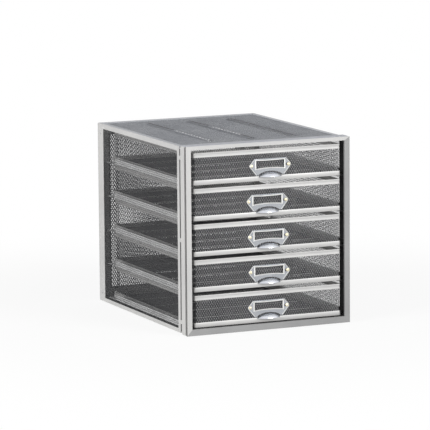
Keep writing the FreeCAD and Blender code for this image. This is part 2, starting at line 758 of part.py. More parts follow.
def make_rim(drawer):
    """Steel hem over the top edge of the tray."""
    body = new_body(f"drawer_{drawer}_rim")
    outer = rounded(f"-{DRAWER_SIDE}", DRAWER_SIDE, DRAWER_FRONT, DRAWER_REAR, "drawer_corner")
    groove_outer = rounded(f"-{TRAY_SIDE}", TRAY_SIDE, TRAY_FRONT, TRAY_REAR, TRAY_CORNER)
    wall_side = f"({TRAY_SIDE} - mesh_sheet)"
    wall_rear = f"({TRAY_REAR} - mesh_sheet)"
    groove_inner = rounded(f"-{wall_side}", wall_side, BACKING_FRONT, wall_rear, WALL_CORNER)
    inner = rounded(
        f"-({wall_side} - rim_sheet)",
        f"({wall_side} - rim_sheet)",
        f"({BACKING_FRONT} + rim_sheet)",
        f"({wall_rear} - rim_sheet)",
        RIM_CORNER,
    )
    low = f"({LOWEST_DRAWER} + {RIM_LOW})"
    slab(body, "hem", "XY", low, "rim_height", outer, inner)
    cut(body, "groove", "XY", low, "(rim_height - rim_sheet)", groove_outer, groove_inner)
    lift_to_drawer(body, drawer)


def make_band(drawer):
    """Steel band round the foot of the tray, with a flange under the floor's edge."""
    body = new_body(f"drawer_{drawer}_base_band")
    outer = rounded(f"-{DRAWER_SIDE}", DRAWER_SIDE, DRAWER_FRONT, DRAWER_REAR, "drawer_corner")
    inner = rounded(f"-{TRAY_SIDE}", TRAY_SIDE, TRAY_FRONT, TRAY_REAR, TRAY_CORNER)
    flange = rectangle(
        f"-({DRAWER_SIDE} - band_flange)",
        f"({DRAWER_SIDE} - band_flange)",
        f"({DRAWER_FRONT} + band_flange)",
        f"({DRAWER_REAR} - band_flange)",
    )
    slab(body, "band", "XY", LOWEST_DRAWER, "band_height", outer, inner)
    slab(body, "flange", "XY", LOWEST_DRAWER, "rim_sheet", outer, flange)
    lift_to_drawer(body, drawer)


# Label holders, each a pressed plate with a card window and a cup pull


def rivet_circles(radius, middle):
    """One circle at each ear of the label holder, either side of a middle."""
    height = f"({LOWEST_DRAWER} + {EAR_HEIGHT})"
    places = [f"({middle} - rivet_offset)", f"({middle} + rivet_offset)"]
    return [circle(across, height, radius) for across in places]


def shift_with_pull(body, drawer):
    """Move a sub-part drawn on the middle of the drawer to where its pull is riveted."""
    body.setExpression("Placement.Base.x", in_sheet(f"pull_shift_{drawer}"))


def bow_radius(half, bow):
    """Radius of an arc over a chord of two halves with that much bow."""
    return f"(({half} * {half} + {bow} * {bow}) / (2 * {bow}))"


def draw_bowed(sketch, half, low, high, crown, sag):
    """Draw a four-sided outline whose low edge bows up and whose high edge bows down."""
    sides = []
    for across, start, end in ((half, low, high), (f"-{half}", high, low)):
        first = FreeCAD.Vector(value(across), value(start), 0)
        second = FreeCAD.Vector(value(across), value(end), 0)
        line = sketch.addGeometry(Part.LineSegment(first, second), False)
        hold_point(sketch, line, 1, across, start)
        hold_point(sketch, line, 2, across, end)
        sides.append(line)
    bows = (
        (f"({low} + {crown} - {bow_radius(half, crown)})", crown, math.pi / 2, sides),
        (f"({high} - {sag} + {bow_radius(half, sag)})", sag, 3 * math.pi / 2, sides[::-1]),
    )
    for centre_height, bow, heading, neighbours in bows:
        radius = value(bow_radius(half, bow))
        spread = math.asin(value(half) / radius)
        centre = FreeCAD.Vector(0, value(centre_height), 0)
        ring = Part.Circle(centre, FreeCAD.Vector(0, 0, 1), radius)
        arc = sketch.addGeometry(Part.ArcOfCircle(ring, heading - spread, heading + spread), False)
        sketch.addConstraint(Sketcher.Constraint("Coincident", arc, 1, neighbours[0], 1))
        sketch.addConstraint(Sketcher.Constraint("Coincident", arc, 2, neighbours[1], 2))
        dimension(sketch, "DistanceY", arc, 3, centre_height)


def turn_cup(body, kind, name, half_span, radius):
    """Add or cut a lens-shaped dome, spun about the cup's own axis along the drawer's front."""
    sketch = new_sketch(body, f"{name}_outline", "XZ", TRAY_FRONT)
    sketch.setExpression("AttachmentOffset.Base.y", in_sheet(f"{LOWEST_DRAWER} + cup_axis"))
    half = value(half_span)
    bow = value(bow_radius(half_span, radius))
    spread = math.asin(half / bow)
    start = FreeCAD.Vector(-half, 0, 0)
    line = sketch.addGeometry(Part.LineSegment(start, FreeCAD.Vector(half, 0, 0)), False)
    centre = FreeCAD.Vector(0, value(radius) - bow, 0)
    ring = Part.Circle(centre, FreeCAD.Vector(0, 0, 1), bow)
    span = (math.pi / 2 - spread, math.pi / 2 + spread)
    arc = sketch.addGeometry(Part.ArcOfCircle(ring, *span), False)
    hold_point(sketch, line, 1, f"-{half_span}", "0")
    hold_point(sketch, line, 2, half_span, "0")
    sketch.addConstraint(Sketcher.Constraint("Coincident", arc, 1, line, 2))
    sketch.addConstraint(Sketcher.Constraint("Coincident", arc, 2, line, 1))
    dimension(sketch, "DistanceY", arc, 3, f"({radius} - {bow_radius(half_span, radius)})")
    feature = body.newObject(f"PartDesign::{kind}", name)
    feature.Profile = sketch
    feature.ReferenceAxis = (sketch, ["H_Axis"])
    feature.Angle = FULL_TURN
    return feature


def make_pull(drawer):
    """Label plate with ears, a raised bead round the card window and a half-dome cup below."""
    body = new_body(f"drawer_{drawer}_label_pull")
    base = LOWEST_DRAWER
    face = f"({TRAY_FRONT} - pull_sheet)"
    corner_side = f"({BEAD_HALF} + bead_margin)"
    corner_height = f"({base} + {BEAD_HIGH} + bead_margin)"
    plate_low = f"{base} + band_height + plate_margin"
    ear_height = f"{base} + {EAR_HEIGHT}"
    plate = [
        ("-plate_foot", plate_low),
        ("plate_foot", plate_low),
        ("ear_reach", ear_height),
        (corner_side, corner_height),
        (f"-{corner_side}", corner_height),
        ("-ear_reach", ear_height),
    ]
    slab(body, "plate", "XZ", face, "pull_sheet", plate)
    doc.recompute()
    ear = value("ear_reach")
    foot = value("plate_foot")

    def is_ear(start, end):
        return abs(abs(start.x) - ear) < TOUCH and abs(start.x - end.x) < TOUCH

    def is_foot(start, end):
        return abs(abs(start.x) - foot) < TOUCH and abs(start.x - end.x) < TOUCH

    dress(body, "Fillet", "ear_tips", "Radius", "ear_round", edges_at(body.Shape, is_ear))
    doc.recompute()
    dress(body, "Fillet", "feet", "Radius", "foot_round", edges_at(body.Shape, is_foot))
    doc.recompute()
    bead = new_sketch(body, "bead_outline", "XZ", f"({face} - bead_rise)")
    bead_low = f"({base} + {BEAD_LOW})"
    bead_high = f"({base} + {BEAD_HIGH})"
    draw_bowed(bead, BEAD_HALF, bead_low, bead_high, "card_low_crown", "card_high_sag")
    bead_pad = body.newObject("PartDesign::Pad", "bead")
    bead_pad.Profile = bead
    bead_pad.Reversed = True
    bead_pad.setExpression("Length", in_sheet("bead_rise"))
    doc.recompute()
    front = value(f"{face} - bead_rise")
    rim = [
        f"Edge{index + 1}"
        for index, edge in enumerate(body.Shape.Edges)
        if all(abs(vertex.Y - front) < TOUCH for vertex in edge.Vertexes)
    ]
    dress(body, "Chamfer", "bead_edges", "Size", "bead_edge", rim)
    card = new_sketch(body, "card_outline", "XZ", f"({face} - bead_rise)")
    card_low = f"({base} + {CARD_LOW})"
    card_high = f"({base} + {CARD_HIGH})"
    draw_bowed(card, CARD_HALF, card_low, card_high, "card_low_crown", "card_high_sag")
    window = body.newObject("PartDesign::Pocket", "card_window")
    window.Profile = card
    window.Reversed = False
    window.setExpression("Length", in_sheet("bead_rise + pull_sheet"))
    hole_radius = "(rivet_shank / 2 + rivet_clearance)"
    cut(body, "rivet_holes", "XZ", face, "pull_sheet", *rivet_circles(hole_radius, "0"))
    turn_cup(body, "Revolution", "cup", "cup_half_span", CUP_RADIUS)
    turn_cup(body, "Groove", "cup_hollow", "(cup_half_span - cup_end_wall)", "cup_bulge")
    bottom = f"({base} + cup_axis - {CUP_RADIUS})"
    lower = rectangle("-cup_half_span", "cup_half_span", bottom, f"({base} + cup_low)")
    cut(body, "below_cup", "XZ", f"({TRAY_FRONT} - {CUP_RADIUS})", f"2 * {CUP_RADIUS}", lower)
    behind = rectangle("-cup_half_span", "cup_half_span", bottom, card_low)
    cut(body, "behind_cup", "XZ", TRAY_FRONT, CUP_RADIUS, behind)
    band_top = f"({base} + band_height + cup_band_clearance)"
    beside_band = rectangle("-cup_half_span", "cup_half_span", bottom, band_top)
    cut(body, "band_notch", "XZ", DRAWER_FRONT, "rim_sheet", beside_band)
    shift_with_pull(body, drawer)
    lift_to_drawer(body, drawer)


def make_backing(drawer):
    """Stiffening strip of mesh behind the front of the tray, which the rivets clamp."""
    body = new_body(f"drawer_{drawer}_backing_plate")
    outline = rectangle(
        "-backing_width / 2",
        "backing_width / 2",
        f"({LOWEST_DRAWER} + band_height + backing_margin)",
        f"({LOWEST_DRAWER} + {RIM_LOW} - backing_margin)",
    )
    slab(body, "sheet", "XZ", BACKING_FRONT, "mesh_sheet", outline)
    hole_radius = "(rivet_shank / 2 + rivet_clearance)"
    cut(body, "rivet_holes", "XZ", BACKING_FRONT, "mesh_sheet", *rivet_circles(hole_radius, "0"))
    shift_with_pull(body, drawer)
    lift_to_drawer(body, drawer)


def turned(label, places, axis, profile):
    """Group of equal turned pieces: a half section spun about an axis at each place."""
    pieces = []
    for place in places:
        points = [place(along, radius) for along, radius in profile]
        wire = Part.makePolygon(points + points[:1])
        centre = place(0, 0)
        pieces.append(Part.Face(wire).revolve(centre, axis, FULL_TURN))
    group = doc.addObject("Part::Feature", label)
    group.Label = label
    group.Shape = Part.makeCompound(pieces)
    SUB_PARTS.append(group)
    return group


def rivet_profile(shank, head, crown, tail, tail_rise, grip):
    """Half section of a rivet: distance along it from the head's seat, and radius."""
    steps = 4
    dome = []
    for step in range(steps + 1):
        turn = math.pi / 2 * step / steps
        dome.append((-crown * math.cos(turn), head / 2 * math.sin(turn)))
    return dome + [
        (0, shank / 2),
        (grip, shank / 2),
        (grip, tail / 2),
        (grip + tail_rise, tail / 2),
        (grip + tail_rise, 0),
    ]


def make_drawer_rivets(drawer):
    """Two rivets through the ears, the tray's front and the backing plate."""
    seat = value(f"{TRAY_FRONT} - pull_sheet")
    grip = value("pull_sheet + 2 * mesh_sheet")
    height = value(f"{LOWEST_DRAWER} + {EAR_HEIGHT}")
    profile = rivet_profile(
        value("rivet_shank"),
        value("rivet_head"),
        value("rivet_crown"),
        value("rivet_tail"),
        value("rivet_tail_rise"),
        grip,
    )

    def placed(across):
        return lambda along, radius: FreeCAD.Vector(across + radius, seat + along, height)

    places = [placed(side * value("rivet_offset")) for side in (-1, 1)]
    group = turned(f"drawer_{drawer}_rivets", places, FreeCAD.Vector(0, 1, 0), profile)
    shift_with_pull(group, drawer)
    lift_to_drawer(group, drawer)


def make_case_rivets():
    """Four rivets that fasten the side frames to the flanges of the back frame."""
    grip = value("2 * edge_sheet")
    profile = rivet_profile(
        value("case_rivet_shank"),
        value("case_rivet_head"),
        value("case_rivet_crown"),
        value("case_rivet_tail"),
        value("rivet_tail_rise"),
        grip,
    )
    depth = value(CASE_RIVET_DEPTH)
    seat = value(SIDE_OUTER)

    def placed(side, height):
        return lambda along, radius: FreeCAD.Vector(side * (seat - along), depth + radius, height)

    places = [placed(side, value(height)) for side in (-1, 1) for height in CASE_RIVET_HEIGHTS]
    turned("case_rivets", places, FreeCAD.Vector(1, 0, 0), profile)


CASE_RIVET_DEPTH = f"({REAR} - case_rivet_inset)"
CASE_RIVET_HEIGHTS = (
    f"({CASE_BOTTOM} + case_rivet_height)",
    f"({CASE_TOP} - case_rivet_height)",
)

for bar in ("top", "bottom", "left", "right"):
    make_bezel_bar(bar)
make_hoop()
make_side(-1, "left")
make_side(1, "right")
make_strap(-1, "left")
make_strap(1, "right")
make_back()
make_top()
make_bottom()
make_feet()
make_case_rivets()
for drawer in range(1, DRAWER_COUNT + 1):
    make_runner(-1, "left", drawer)
    make_runner(1, "right", drawer)
    make_tray(drawer)
    make_rim(drawer)
    make_band(drawer)
    make_pull(drawer)
    make_backing(drawer)
    make_drawer_rivets(drawer)
doc.recompute()

# Checks and export

for item in doc.Objects:
    if "Invalid" in item.State or "Error" in item.State:
        raise RuntimeError(f"{item.Label} did not build: {item.State}")
os.makedirs("parts", exist_ok=True)
for sub_part in SUB_PARTS:
    shape = sub_part.Shape
    if shape.isNull() or not shape.isValid():
        raise RuntimeError(f"{sub_part.Label} has no valid shape")
    shape.exportStep(os.path.join("parts", f"{sub_part.Label}.step"))
    print(f"{sub_part.Label}: {len(shape.Solids)} solid, {shape.Volume:.0f} mm3")
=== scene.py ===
"""Looks of the desktop mini drawers: expanded-metal nets, coated strips, plated pulls, studio and camera."""

import json
import logging
import math
from dataclasses import dataclass, field, replace
from enum import Enum

import bmesh
import bpy
from mathutils import Matrix, Vector

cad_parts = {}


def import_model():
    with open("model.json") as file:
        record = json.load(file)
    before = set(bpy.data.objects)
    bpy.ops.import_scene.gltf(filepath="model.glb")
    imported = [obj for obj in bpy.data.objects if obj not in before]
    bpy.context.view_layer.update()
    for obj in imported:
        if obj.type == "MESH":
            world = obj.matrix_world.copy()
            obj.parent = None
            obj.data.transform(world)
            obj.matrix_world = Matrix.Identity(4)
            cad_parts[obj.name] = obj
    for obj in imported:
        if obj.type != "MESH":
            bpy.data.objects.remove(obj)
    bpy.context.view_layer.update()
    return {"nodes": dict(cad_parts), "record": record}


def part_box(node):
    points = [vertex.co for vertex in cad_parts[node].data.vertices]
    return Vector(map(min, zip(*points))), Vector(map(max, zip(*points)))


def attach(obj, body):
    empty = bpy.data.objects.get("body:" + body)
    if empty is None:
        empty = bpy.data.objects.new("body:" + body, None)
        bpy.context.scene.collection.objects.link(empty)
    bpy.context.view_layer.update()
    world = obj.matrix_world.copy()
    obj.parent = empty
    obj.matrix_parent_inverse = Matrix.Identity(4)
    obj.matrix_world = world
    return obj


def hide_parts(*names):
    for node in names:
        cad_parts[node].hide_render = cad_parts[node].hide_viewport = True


Pair = tuple[float, float]
Triple = tuple[float, float, float]
Edges = list[tuple[int, int]]
Socket = bpy.types.NodeSocket
Sockets = bpy.types.bpy_prop_collection
Piece = bpy.types.Object

LOG = logging.getLogger("mini_drawers")
MM = 0.001
DRAWERS = (1, 2, 3, 4, 5)
SIDES = ("left", "right")
NOISE_MIDDLE = 0.5
BUMP_DISTANCE = 0.2 * MM
MERGE_DISTANCE = 0.001 * MM
SHARP_ANGLE = math.radians(40.0)
ACROSS, BACKWARDS, UPWARDS = (1.0, 0.0, 0.0), (0.0, 1.0, 0.0), (0.0, 0.0, 1.0)

# Signs of a rectangle's corners along X and Y, anticlockwise from the right rear one.
CORNERS = ((1, 1), (-1, 1), (-1, -1), (1, -1))

# Numbers of a Mix node's colour sockets, which share their names with other sockets.
COLOUR_A, COLOUR_B, MIXED_COLOUR = 6, 7, 2


class Slot(Enum):
    """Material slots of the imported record."""

    STRIP = "silver_strip"
    CASE_MESH = "case_mesh"
    DRAWER_MESH = "drawer_mesh"
    BACKING = "backing_mesh"
    RUNNER = "runner_steel"
    PULL = "plated_pull"
    RIVET = "brass_rivet"
    CASE_RIVET = "case_rivet"
    STRAP = "dark_strap"
    FOOT = "foot_rubber"


class Wall(Enum):
    """Flat sides of the case that hold a net, with the axis that each faces."""

    LEFT = ("left_side_mesh", 0)
    RIGHT = ("right_side_mesh", 0)
    BACK = ("back_mesh", 1)
    TOP = ("top_mesh", 2)
    BOTTOM = ("bottom_mesh", 2)


def mm(*sizes: float) -> tuple[float, ...]:
    """Return sizes in millimetres as metres."""
    return tuple(size * MM for size in sizes)


def grey(shade: float) -> Triple:
    """Return a neutral colour."""
    return (shade, shade, shade)


def link(name: str, data: bpy.types.ID) -> Piece:
    """Make an object, linked to the scene.

    Args:
        name: The object's name.
        data: Its mesh, camera or lamp.

    Returns:
        The new object.
    """
    made = bpy.data.objects.new(name, data)
    bpy.context.scene.collection.objects.link(made)
    return made


def arc_points(
    centre: Pair, radius: float, first: float, last: float, steps: int, stretch: float = 1.0
) -> list[Pair]:
    """Points of an arc in a plane, with its angles in degrees.

    Args:
        centre: Middle of the arc.
        radius: Half the arc's height.
        first: Angle that it starts at.
        last: Angle that it ends at.
        steps: Number of straight pieces.
        stretch: Width of the arc over its height.

    Returns:
        The points, from first to last.
    """
    points = []
    for step in range(steps + 1):
        angle = math.radians(first + (last - first) * step / steps)
        points.append((centre[0] + stretch * radius * math.cos(angle), centre[1] + radius * math.sin(angle)))
    return points


class TreeWriter:
    """Writes a node tree by short calls, for shaders and for geometry alike."""

    def __init__(self, tree: bpy.types.NodeTree) -> None:
        """Hold the tree that the calls write to."""
        self.tree = tree

    def socket(self, name: str, kind: str, default: object = None, output: bool = False) -> None:
        """Add an interface socket.

        Args:
            name: The socket's name.
            kind: Its type, without the common first part.
            default: Its default value, or None to leave it.
            output: True for an output.
        """
        way = "OUTPUT" if output else "INPUT"
        made = self.tree.interface.new_socket(name=name, in_out=way, socket_type=f"NodeSocket{kind}")
        if default is not None:
            made.default_value = default

    def node(self, kind: str, inputs: dict | None = None, **settings: object) -> bpy.types.Node:
        """Add a node with its settings, and set or link its inputs.

        Args:
            kind: The node's type name.
            inputs: Values or output sockets by input name or number.
            **settings: Attributes of the node.

        Returns:
            The new node.
        """
        made = self.tree.nodes.new(kind)
        for name, setting in settings.items():
            setattr(made, name, setting)
        for key, source in (inputs or {}).items():
            if isinstance(source, Socket):
                self.tree.links.new(source, made.inputs[key])
            else:
                made.inputs[key].default_value = source
        return made

    def out(self, kind: str, inputs: dict | None = None, **settings: object) -> Socket:
        """Add a node as node() does, and return its first output."""
        return self.node(kind, inputs, **settings).outputs[0]

    def group(self, name: str, inputs: dict) -> Sockets:
        """Place a shader group with its inputs, and return its outputs."""
        return self.node("ShaderNodeGroup", inputs, node_tree=bpy.data.node_groups[name]).outputs

    def math(self, operation: str, first: object, second: object = 0.0, third: object = 0.0) -> Socket:
        """Add a Math node and return its value."""
        return self.out("ShaderNodeMath", {0: first, 1: second, 2: third}, operation=operation)

    def scale(self, vector: object, factor: object) -> Socket:
        """Multiply a vector by a number and return the result."""
        return self.out("ShaderNodeVectorMath", {0: vector, "Scale": factor}, operation="SCALE")

    def dot(self, first: object, second: object) -> Socket:
        """Return the dot product of two vectors."""
        made = self.node("ShaderNodeVectorMath", {0: first, 1: second}, operation="DOT_PRODUCT")
        return made.outputs["Value"]

    def smooth(self, value: object, low: object, high: object) -> Socket:
        """Return a smooth step from 0 at low to 1 at high."""
        inputs = {"Value": value, "From Min": low, "From Max": high}
        return self.out("ShaderNodeMapRange", inputs, interpolation_type="SMOOTHSTEP")

    def mix(self, factor: object, first: object, second: object, blend: str = "MIX") -> Socket:
        """Mix two colours and return the result."""
        inputs = {"Factor": factor, COLOUR_A: first, COLOUR_B: second}
        return self.node("ShaderNodeMix", inputs, data_type="RGBA", blend_type=blend).outputs[MIXED_COLOUR]

    def join(self, *parts: Socket) -> Socket:
        """Join geometries.

        Args:
            *parts: Sockets of the geometries, in order.

        Returns:
            The joined geometry.
        """
        made = self.node("GeometryNodeJoinGeometry")
        for part in parts:
            self.tree.links.new(part, made.inputs[0])
        return made.outputs[0]


def blank(owner: bpy.types.ID) -> TreeWriter:
    """Empty the node tree of a material or a world.

    Args:
        owner: The material or world.

    Returns:
        A writer of its tree.
    """
    owner.use_nodes = True
    owner.node_tree.nodes.clear()
    return TreeWriter(owner.node_tree)


@dataclass(frozen=True)
class ShaderGroups:
    """Shader effects that several finishes share, each built once."""

    grain_name: str = "powder_grain"
    wear_name: str = "handled_patches"
    band_name: str = "level_band"
    grain_detail: float = 3.0
    grain_roughness: float = 0.6
    wear_detail: float = 2.0

    def build(self) -> None:
        """Build the three groups."""
        self._grain()
        self._wear()
        self._band()

    def _open(self, name: str, inputs: dict, *outputs: str) -> tuple[TreeWriter, Sockets, Socket]:
        """Start a group with its sockets.

        Args:
            name: The group's name.
            inputs: Defaults by input name, with None for a direction.
            *outputs: Names of the numbers that it puts out.

        Returns:
            The writer, the group's inputs and the place on the object.
        """
        write = TreeWriter(bpy.data.node_groups.new(name, "ShaderNodeTree"))
        for given, default in inputs.items():
            write.socket(given, "Vector" if default is None else "Float", default)
        for made in outputs:
            write.socket(made, "Float", output=True)
        place = write.node("ShaderNodeTexCoord").outputs["Object"]
        return write, write.node("NodeGroupInput").outputs, place

    def _band(self) -> None:
        """A band between two places along a direction: 1 inside it and 0 outside. It carries painted shade
        and painted reflection.
        """
        write, given, place = self._open(self.band_name, {"Axis": None, "From": 0.0, "To": 1.0}, "Band")
        along = write.dot(place, given["Axis"])
        above = write.math("GREATER_THAN", along, given["From"])
        below = write.math("LESS_THAN", along, given["To"])
        write.node("NodeGroupOutput", {"Band": write.math("MULTIPLY", above, below)})

    def _grain(self) -> None:
        """Fine bumps of sprayed powder: a height and a slight change of shade."""
        inputs = {"Scale": 900.0, "Contrast": 0.12}
        write, given, place = self._open(self.grain_name, inputs, "Height", "Shade")
        look = {"Vector": place, "Scale": given["Scale"]}
        look |= {"Detail": self.grain_detail, "Roughness": self.grain_roughness}
        noise = write.out("ShaderNodeTexNoise", look)
        centred = write.math("SUBTRACT", noise, NOISE_MIDDLE)
        shade = write.math("MULTIPLY_ADD", centred, given["Contrast"], 1.0)
        write.node("NodeGroupOutput", {"Height": noise, "Shade": shade})

    def _wear(self) -> None:
        """Broad uneven patches left by handling and by the spray, from 0 to 1."""
        write, given, place = self._open(self.wear_name, {"Scale": 14.0, "Softness": 0.25}, "Patch")
        look = {"Vector": place, "Scale": given["Scale"], "Detail": self.wear_detail}
        broad = write.out("ShaderNodeTexNoise", look)
        low = write.math("SUBTRACT", NOISE_MIDDLE, given["Softness"])
        high = write.math("ADD", NOISE_MIDDLE, given["Softness"])
        write.node("NodeGroupOutput", {"Patch": write.smooth(broad, low, high)})


@dataclass(frozen=True)
class MetalFinish:
    """A coated, plated or bare metal.

    Attributes:
        name: The material's name.
        colour: Base colour, linear.
        worn_colour: Base colour in the handled patches, linear.
        metallic: Metallic share.
        roughness: Roughness outside the patches.
        worn_roughness: Roughness in the patches.
        grain_scale: Size of the fine bumps, higher is finer.
        grain_depth: Strength of the fine bumps.
        grain_contrast: Change of shade that goes with the bumps.
        patch_scale: Size of the patches, higher is finer.
        band_axis: Direction across the band of painted light, in another shade.
        band_span: Where the band begins and ends along that direction, in metres.
        band_colour: The band's colour, linear, or None for no band.
    """

    name: str
    colour: Triple
    worn_colour: Triple
    metallic: float = 0.3
    roughness: float = 0.42
    worn_roughness: float = 0.5
    grain_scale: float = 900.0
    grain_depth: float = 0.12
    grain_contrast: float = 0.12
    patch_scale: float = 14.0
    band_axis: Triple = UPWARDS
    band_span: Pair = (0.0, 0.0)
    band_colour: Triple | None = None

    def tinted(self, name: str, colour: Triple, worn_colour: Triple, **changes: float) -> "MetalFinish":
        """Return this finish in other colours, with other changes if any."""
        return replace(self, name=name, colour=colour, worn_colour=worn_colour, **changes)

    def banded(self, name: str, axis: Triple, span: tuple[float, ...], colour: Triple) -> "MetalFinish":
        """Return this finish with a band of painted light in another shade."""
        return replace(self, name=name, band_axis=axis, band_span=span, band_colour=colour)

    def material(self) -> bpy.types.Material:
        """Build the finish.

        Returns:
            The node material.
        """
        made = bpy.data.materials.new(self.name)
        write = blank(made)
        grain = write.group(
            ShaderGroups.grain_name, {"Scale": self.grain_scale, "Contrast": self.grain_contrast}
        )
        patch = write.group(ShaderGroups.wear_name, {"Scale": self.patch_scale})["Patch"]
        mixed = write.mix(patch, (*self.colour, 1.0), (*self.worn_colour, 1.0))
        colour = write.mix(1.0, mixed, grain["Shade"], "MULTIPLY")
        if self.band_colour is not None:
            low, high = self.band_span
            inputs = {"Axis": self.band_axis, "From": low, "To": high}
            band = write.group(ShaderGroups.band_name, inputs)["Band"]
            colour = write.mix(band, colour, (*self.band_colour, 1.0))
        rough = write.math("MULTIPLY_ADD", patch, self.worn_roughness - self.roughness, self.roughness)
        bump = write.out(
            "ShaderNodeBump",
            {"Strength": self.grain_depth, "Distance": BUMP_DISTANCE, "Height": grain["Height"]},
        )
        shader = write.out(
            "ShaderNodeBsdfPrincipled",
            {"Base Color": colour, "Metallic": self.metallic, "Roughness": rough, "Normal": bump},
        )
        write.node("ShaderNodeOutputMaterial", {"Surface": shader})
        return made


SILVER = MetalFinish("silver_powder_coat", (0.45, 0.446, 0.438), (0.41, 0.408, 0.403))
NET_COAT = MetalFinish(
    "case_net_coat",
    (0.07, 0.071, 0.074),
    (0.055, 0.056, 0.059),
    roughness=0.45,
    worn_roughness=0.52,
    grain_scale=600.0,
)
PLATING = MetalFinish(
    "plated_pull",
    (0.46, 0.475, 0.5),
    (0.36, 0.375, 0.4),
    metallic=1.0,
    roughness=0.2,
    worn_roughness=0.28,
    grain_scale=500.0,
    grain_depth=0.05,
    grain_contrast=0.05,
    patch_scale=40.0,
)
RUNNER_COAT = SILVER.tinted("runner_coat", grey(0.7), grey(0.6), worn_roughness=0.36, patch_scale=30.0)
FINISHES: dict[Slot, MetalFinish] = {
    Slot.STRIP: SILVER,
    Slot.CASE_MESH: NET_COAT,
    # Painted shade: the tray's walls and floor, and the backing, take darker copies of the net coat than the
    # front wall, for the little light inside.
    Slot.DRAWER_MESH: NET_COAT.tinted("drawer_net_coat", (0.06, 0.06, 0.064), (0.05, 0.05, 0.054)),
    Slot.BACKING: NET_COAT.tinted(
        "backing_net_coat", (0.05, 0.05, 0.054), (0.04, 0.04, 0.044), roughness=0.5, worn_roughness=0.56
    ),
    Slot.RUNNER: RUNNER_COAT,
    Slot.PULL: PLATING,
    Slot.RIVET: PLATING.tinted(
        "pale_brass_rivet",
        (0.78, 0.72, 0.55),
        (0.68, 0.6, 0.42),
        metallic=0.9,
        roughness=0.24,
        worn_roughness=0.34,
        grain_contrast=0.12,
        patch_scale=160.0,
    ),
    Slot.CASE_RIVET: SILVER.tinted(
        "dark_case_rivet", grey(0.42), grey(0.34), metallic=0.5, roughness=0.4, patch_scale=160.0
    ),
    # Painted shade: the straps behind the slots beside the drawers are near black, standing in for the
    # shadow in those slots.
    Slot.STRAP: SILVER.tinted(
        "dark_strap_coat",
        (0.018, 0.018, 0.02),
        (0.026, 0.026, 0.028),
        metallic=0.1,
        roughness=0.6,
        worn_roughness=0.7,
        patch_scale=30.0,
    ),
    Slot.FOOT: SILVER.tinted(
        "foot_rubber",
        grey(0.02),
        grey(0.03),
        metallic=0.0,
        roughness=0.75,
        worn_roughness=0.85,
        grain_scale=700.0,
        grain_depth=0.3,
        patch_scale=60.0,
    ),
}

# Painted light: the front wall's net is the lit copy of the drawer nets.
LIT_FRONT_NET_FINISH = NET_COAT.tinted("drawer_front_net_coat", (0.29, 0.29, 0.295), (0.24, 0.24, 0.245))
# Painted light: the lid's net is a brighter, bluer copy of the net coat, for the light that falls on the
# top.
LIT_LID_NET_FINISH = NET_COAT.tinted("lid_net_coat", (0.34, 0.35, 0.375), (0.29, 0.3, 0.325))
# Painted highlight: the cup and the beads are brighter copies of the plating than the plate that they are
# pressed from.
LIT_CUP_FINISH = PLATING.tinted("plated_cup", (0.74, 0.76, 0.81), (0.62, 0.64, 0.69))
LIT_BEAD_FINISH = PLATING.tinted(
    "plated_bead",
    (0.66, 0.66, 0.65),
    (0.56, 0.56, 0.55),
    metallic=0.5,
    roughness=0.38,
    worn_roughness=0.46,
    patch_scale=60.0,
)
# Painted shade and painted highlight: dark crests and bright dashes along the lid's ribs.
SHADED_CREST_FINISH = SILVER.tinted(
    "shaded_crest_coat",
    (0.05, 0.05, 0.055),
    (0.1, 0.1, 0.11),
    metallic=0.0,
    roughness=0.6,
    worn_roughness=0.7,
    patch_scale=40.0,
)
LIT_CREST_FINISH = SILVER.tinted(
    "worn_crest_coat",
    grey(0.8),
    (0.45, 0.45, 0.46),
    metallic=0.0,
    roughness=0.5,
    worn_roughness=0.6,
    patch_scale=70.0,
)
# Painted shade and painted reflection: the lid's strips are a darker, bluer copy of the silver coat, for the
# dim sky that top faces see.
SHADED_LID_STRIP_FINISH = SILVER.tinted(
    "lid_strip_coat", (0.36, 0.37, 0.395), (0.32, 0.33, 0.355), roughness=0.45, worn_roughness=0.52
)
# Painted shade: the right and bottom bars are a darker copy of the silver coat, for the light that falls off
# across the front.
SHADED_BAR_FINISH = SILVER.tinted("brushed_bar_coat", grey(0.27), grey(0.22), metallic=0.35, roughness=0.4)
# Painted reflection: a cooler, darker band on the hoop's top faces stands in for the sky that they reflect.
HOOP_TOP_REFLECTION_FINISH = SILVER.banded("hoop_coat", UPWARDS, mm(288.6, 295.0), (0.33, 0.34, 0.37))
# Painted shadow: a near-black band on the left bar's outer flank stands in for the shadow in the groove
# beside the hoop.
LEFT_BAR_SHADOW_FINISH = SILVER.banded("left_bar_coat", ACROSS, mm(-140.0, -136.35), (0.05, 0.05, 0.052))
# Painted shade: the runners' front ends are near black where they sit in the dark slot beside the drawers.
SHADED_TIP_RUNNER_FINISH = RUNNER_COAT.banded(
    "dark_tip_runner_coat", BACKWARDS, mm(-170.0, -141.0), (0.04, 0.04, 0.042)
)
NODE_FINISHES: dict[str, MetalFinish] = {
    "top_frame": SHADED_LID_STRIP_FINISH,
    "top_mesh": LIT_LID_NET_FINISH,
    "front_hoop": HOOP_TOP_REFLECTION_FINISH,
    "front_bezel_left": LEFT_BAR_SHADOW_FINISH,
    "front_bezel_right": SHADED_BAR_FINISH,
    "front_bezel_bottom": SHADED_BAR_FINISH,
    **{f"{side}_runner_{number}": SHADED_TIP_RUNNER_FINISH for side in SIDES for number in DRAWERS},
}


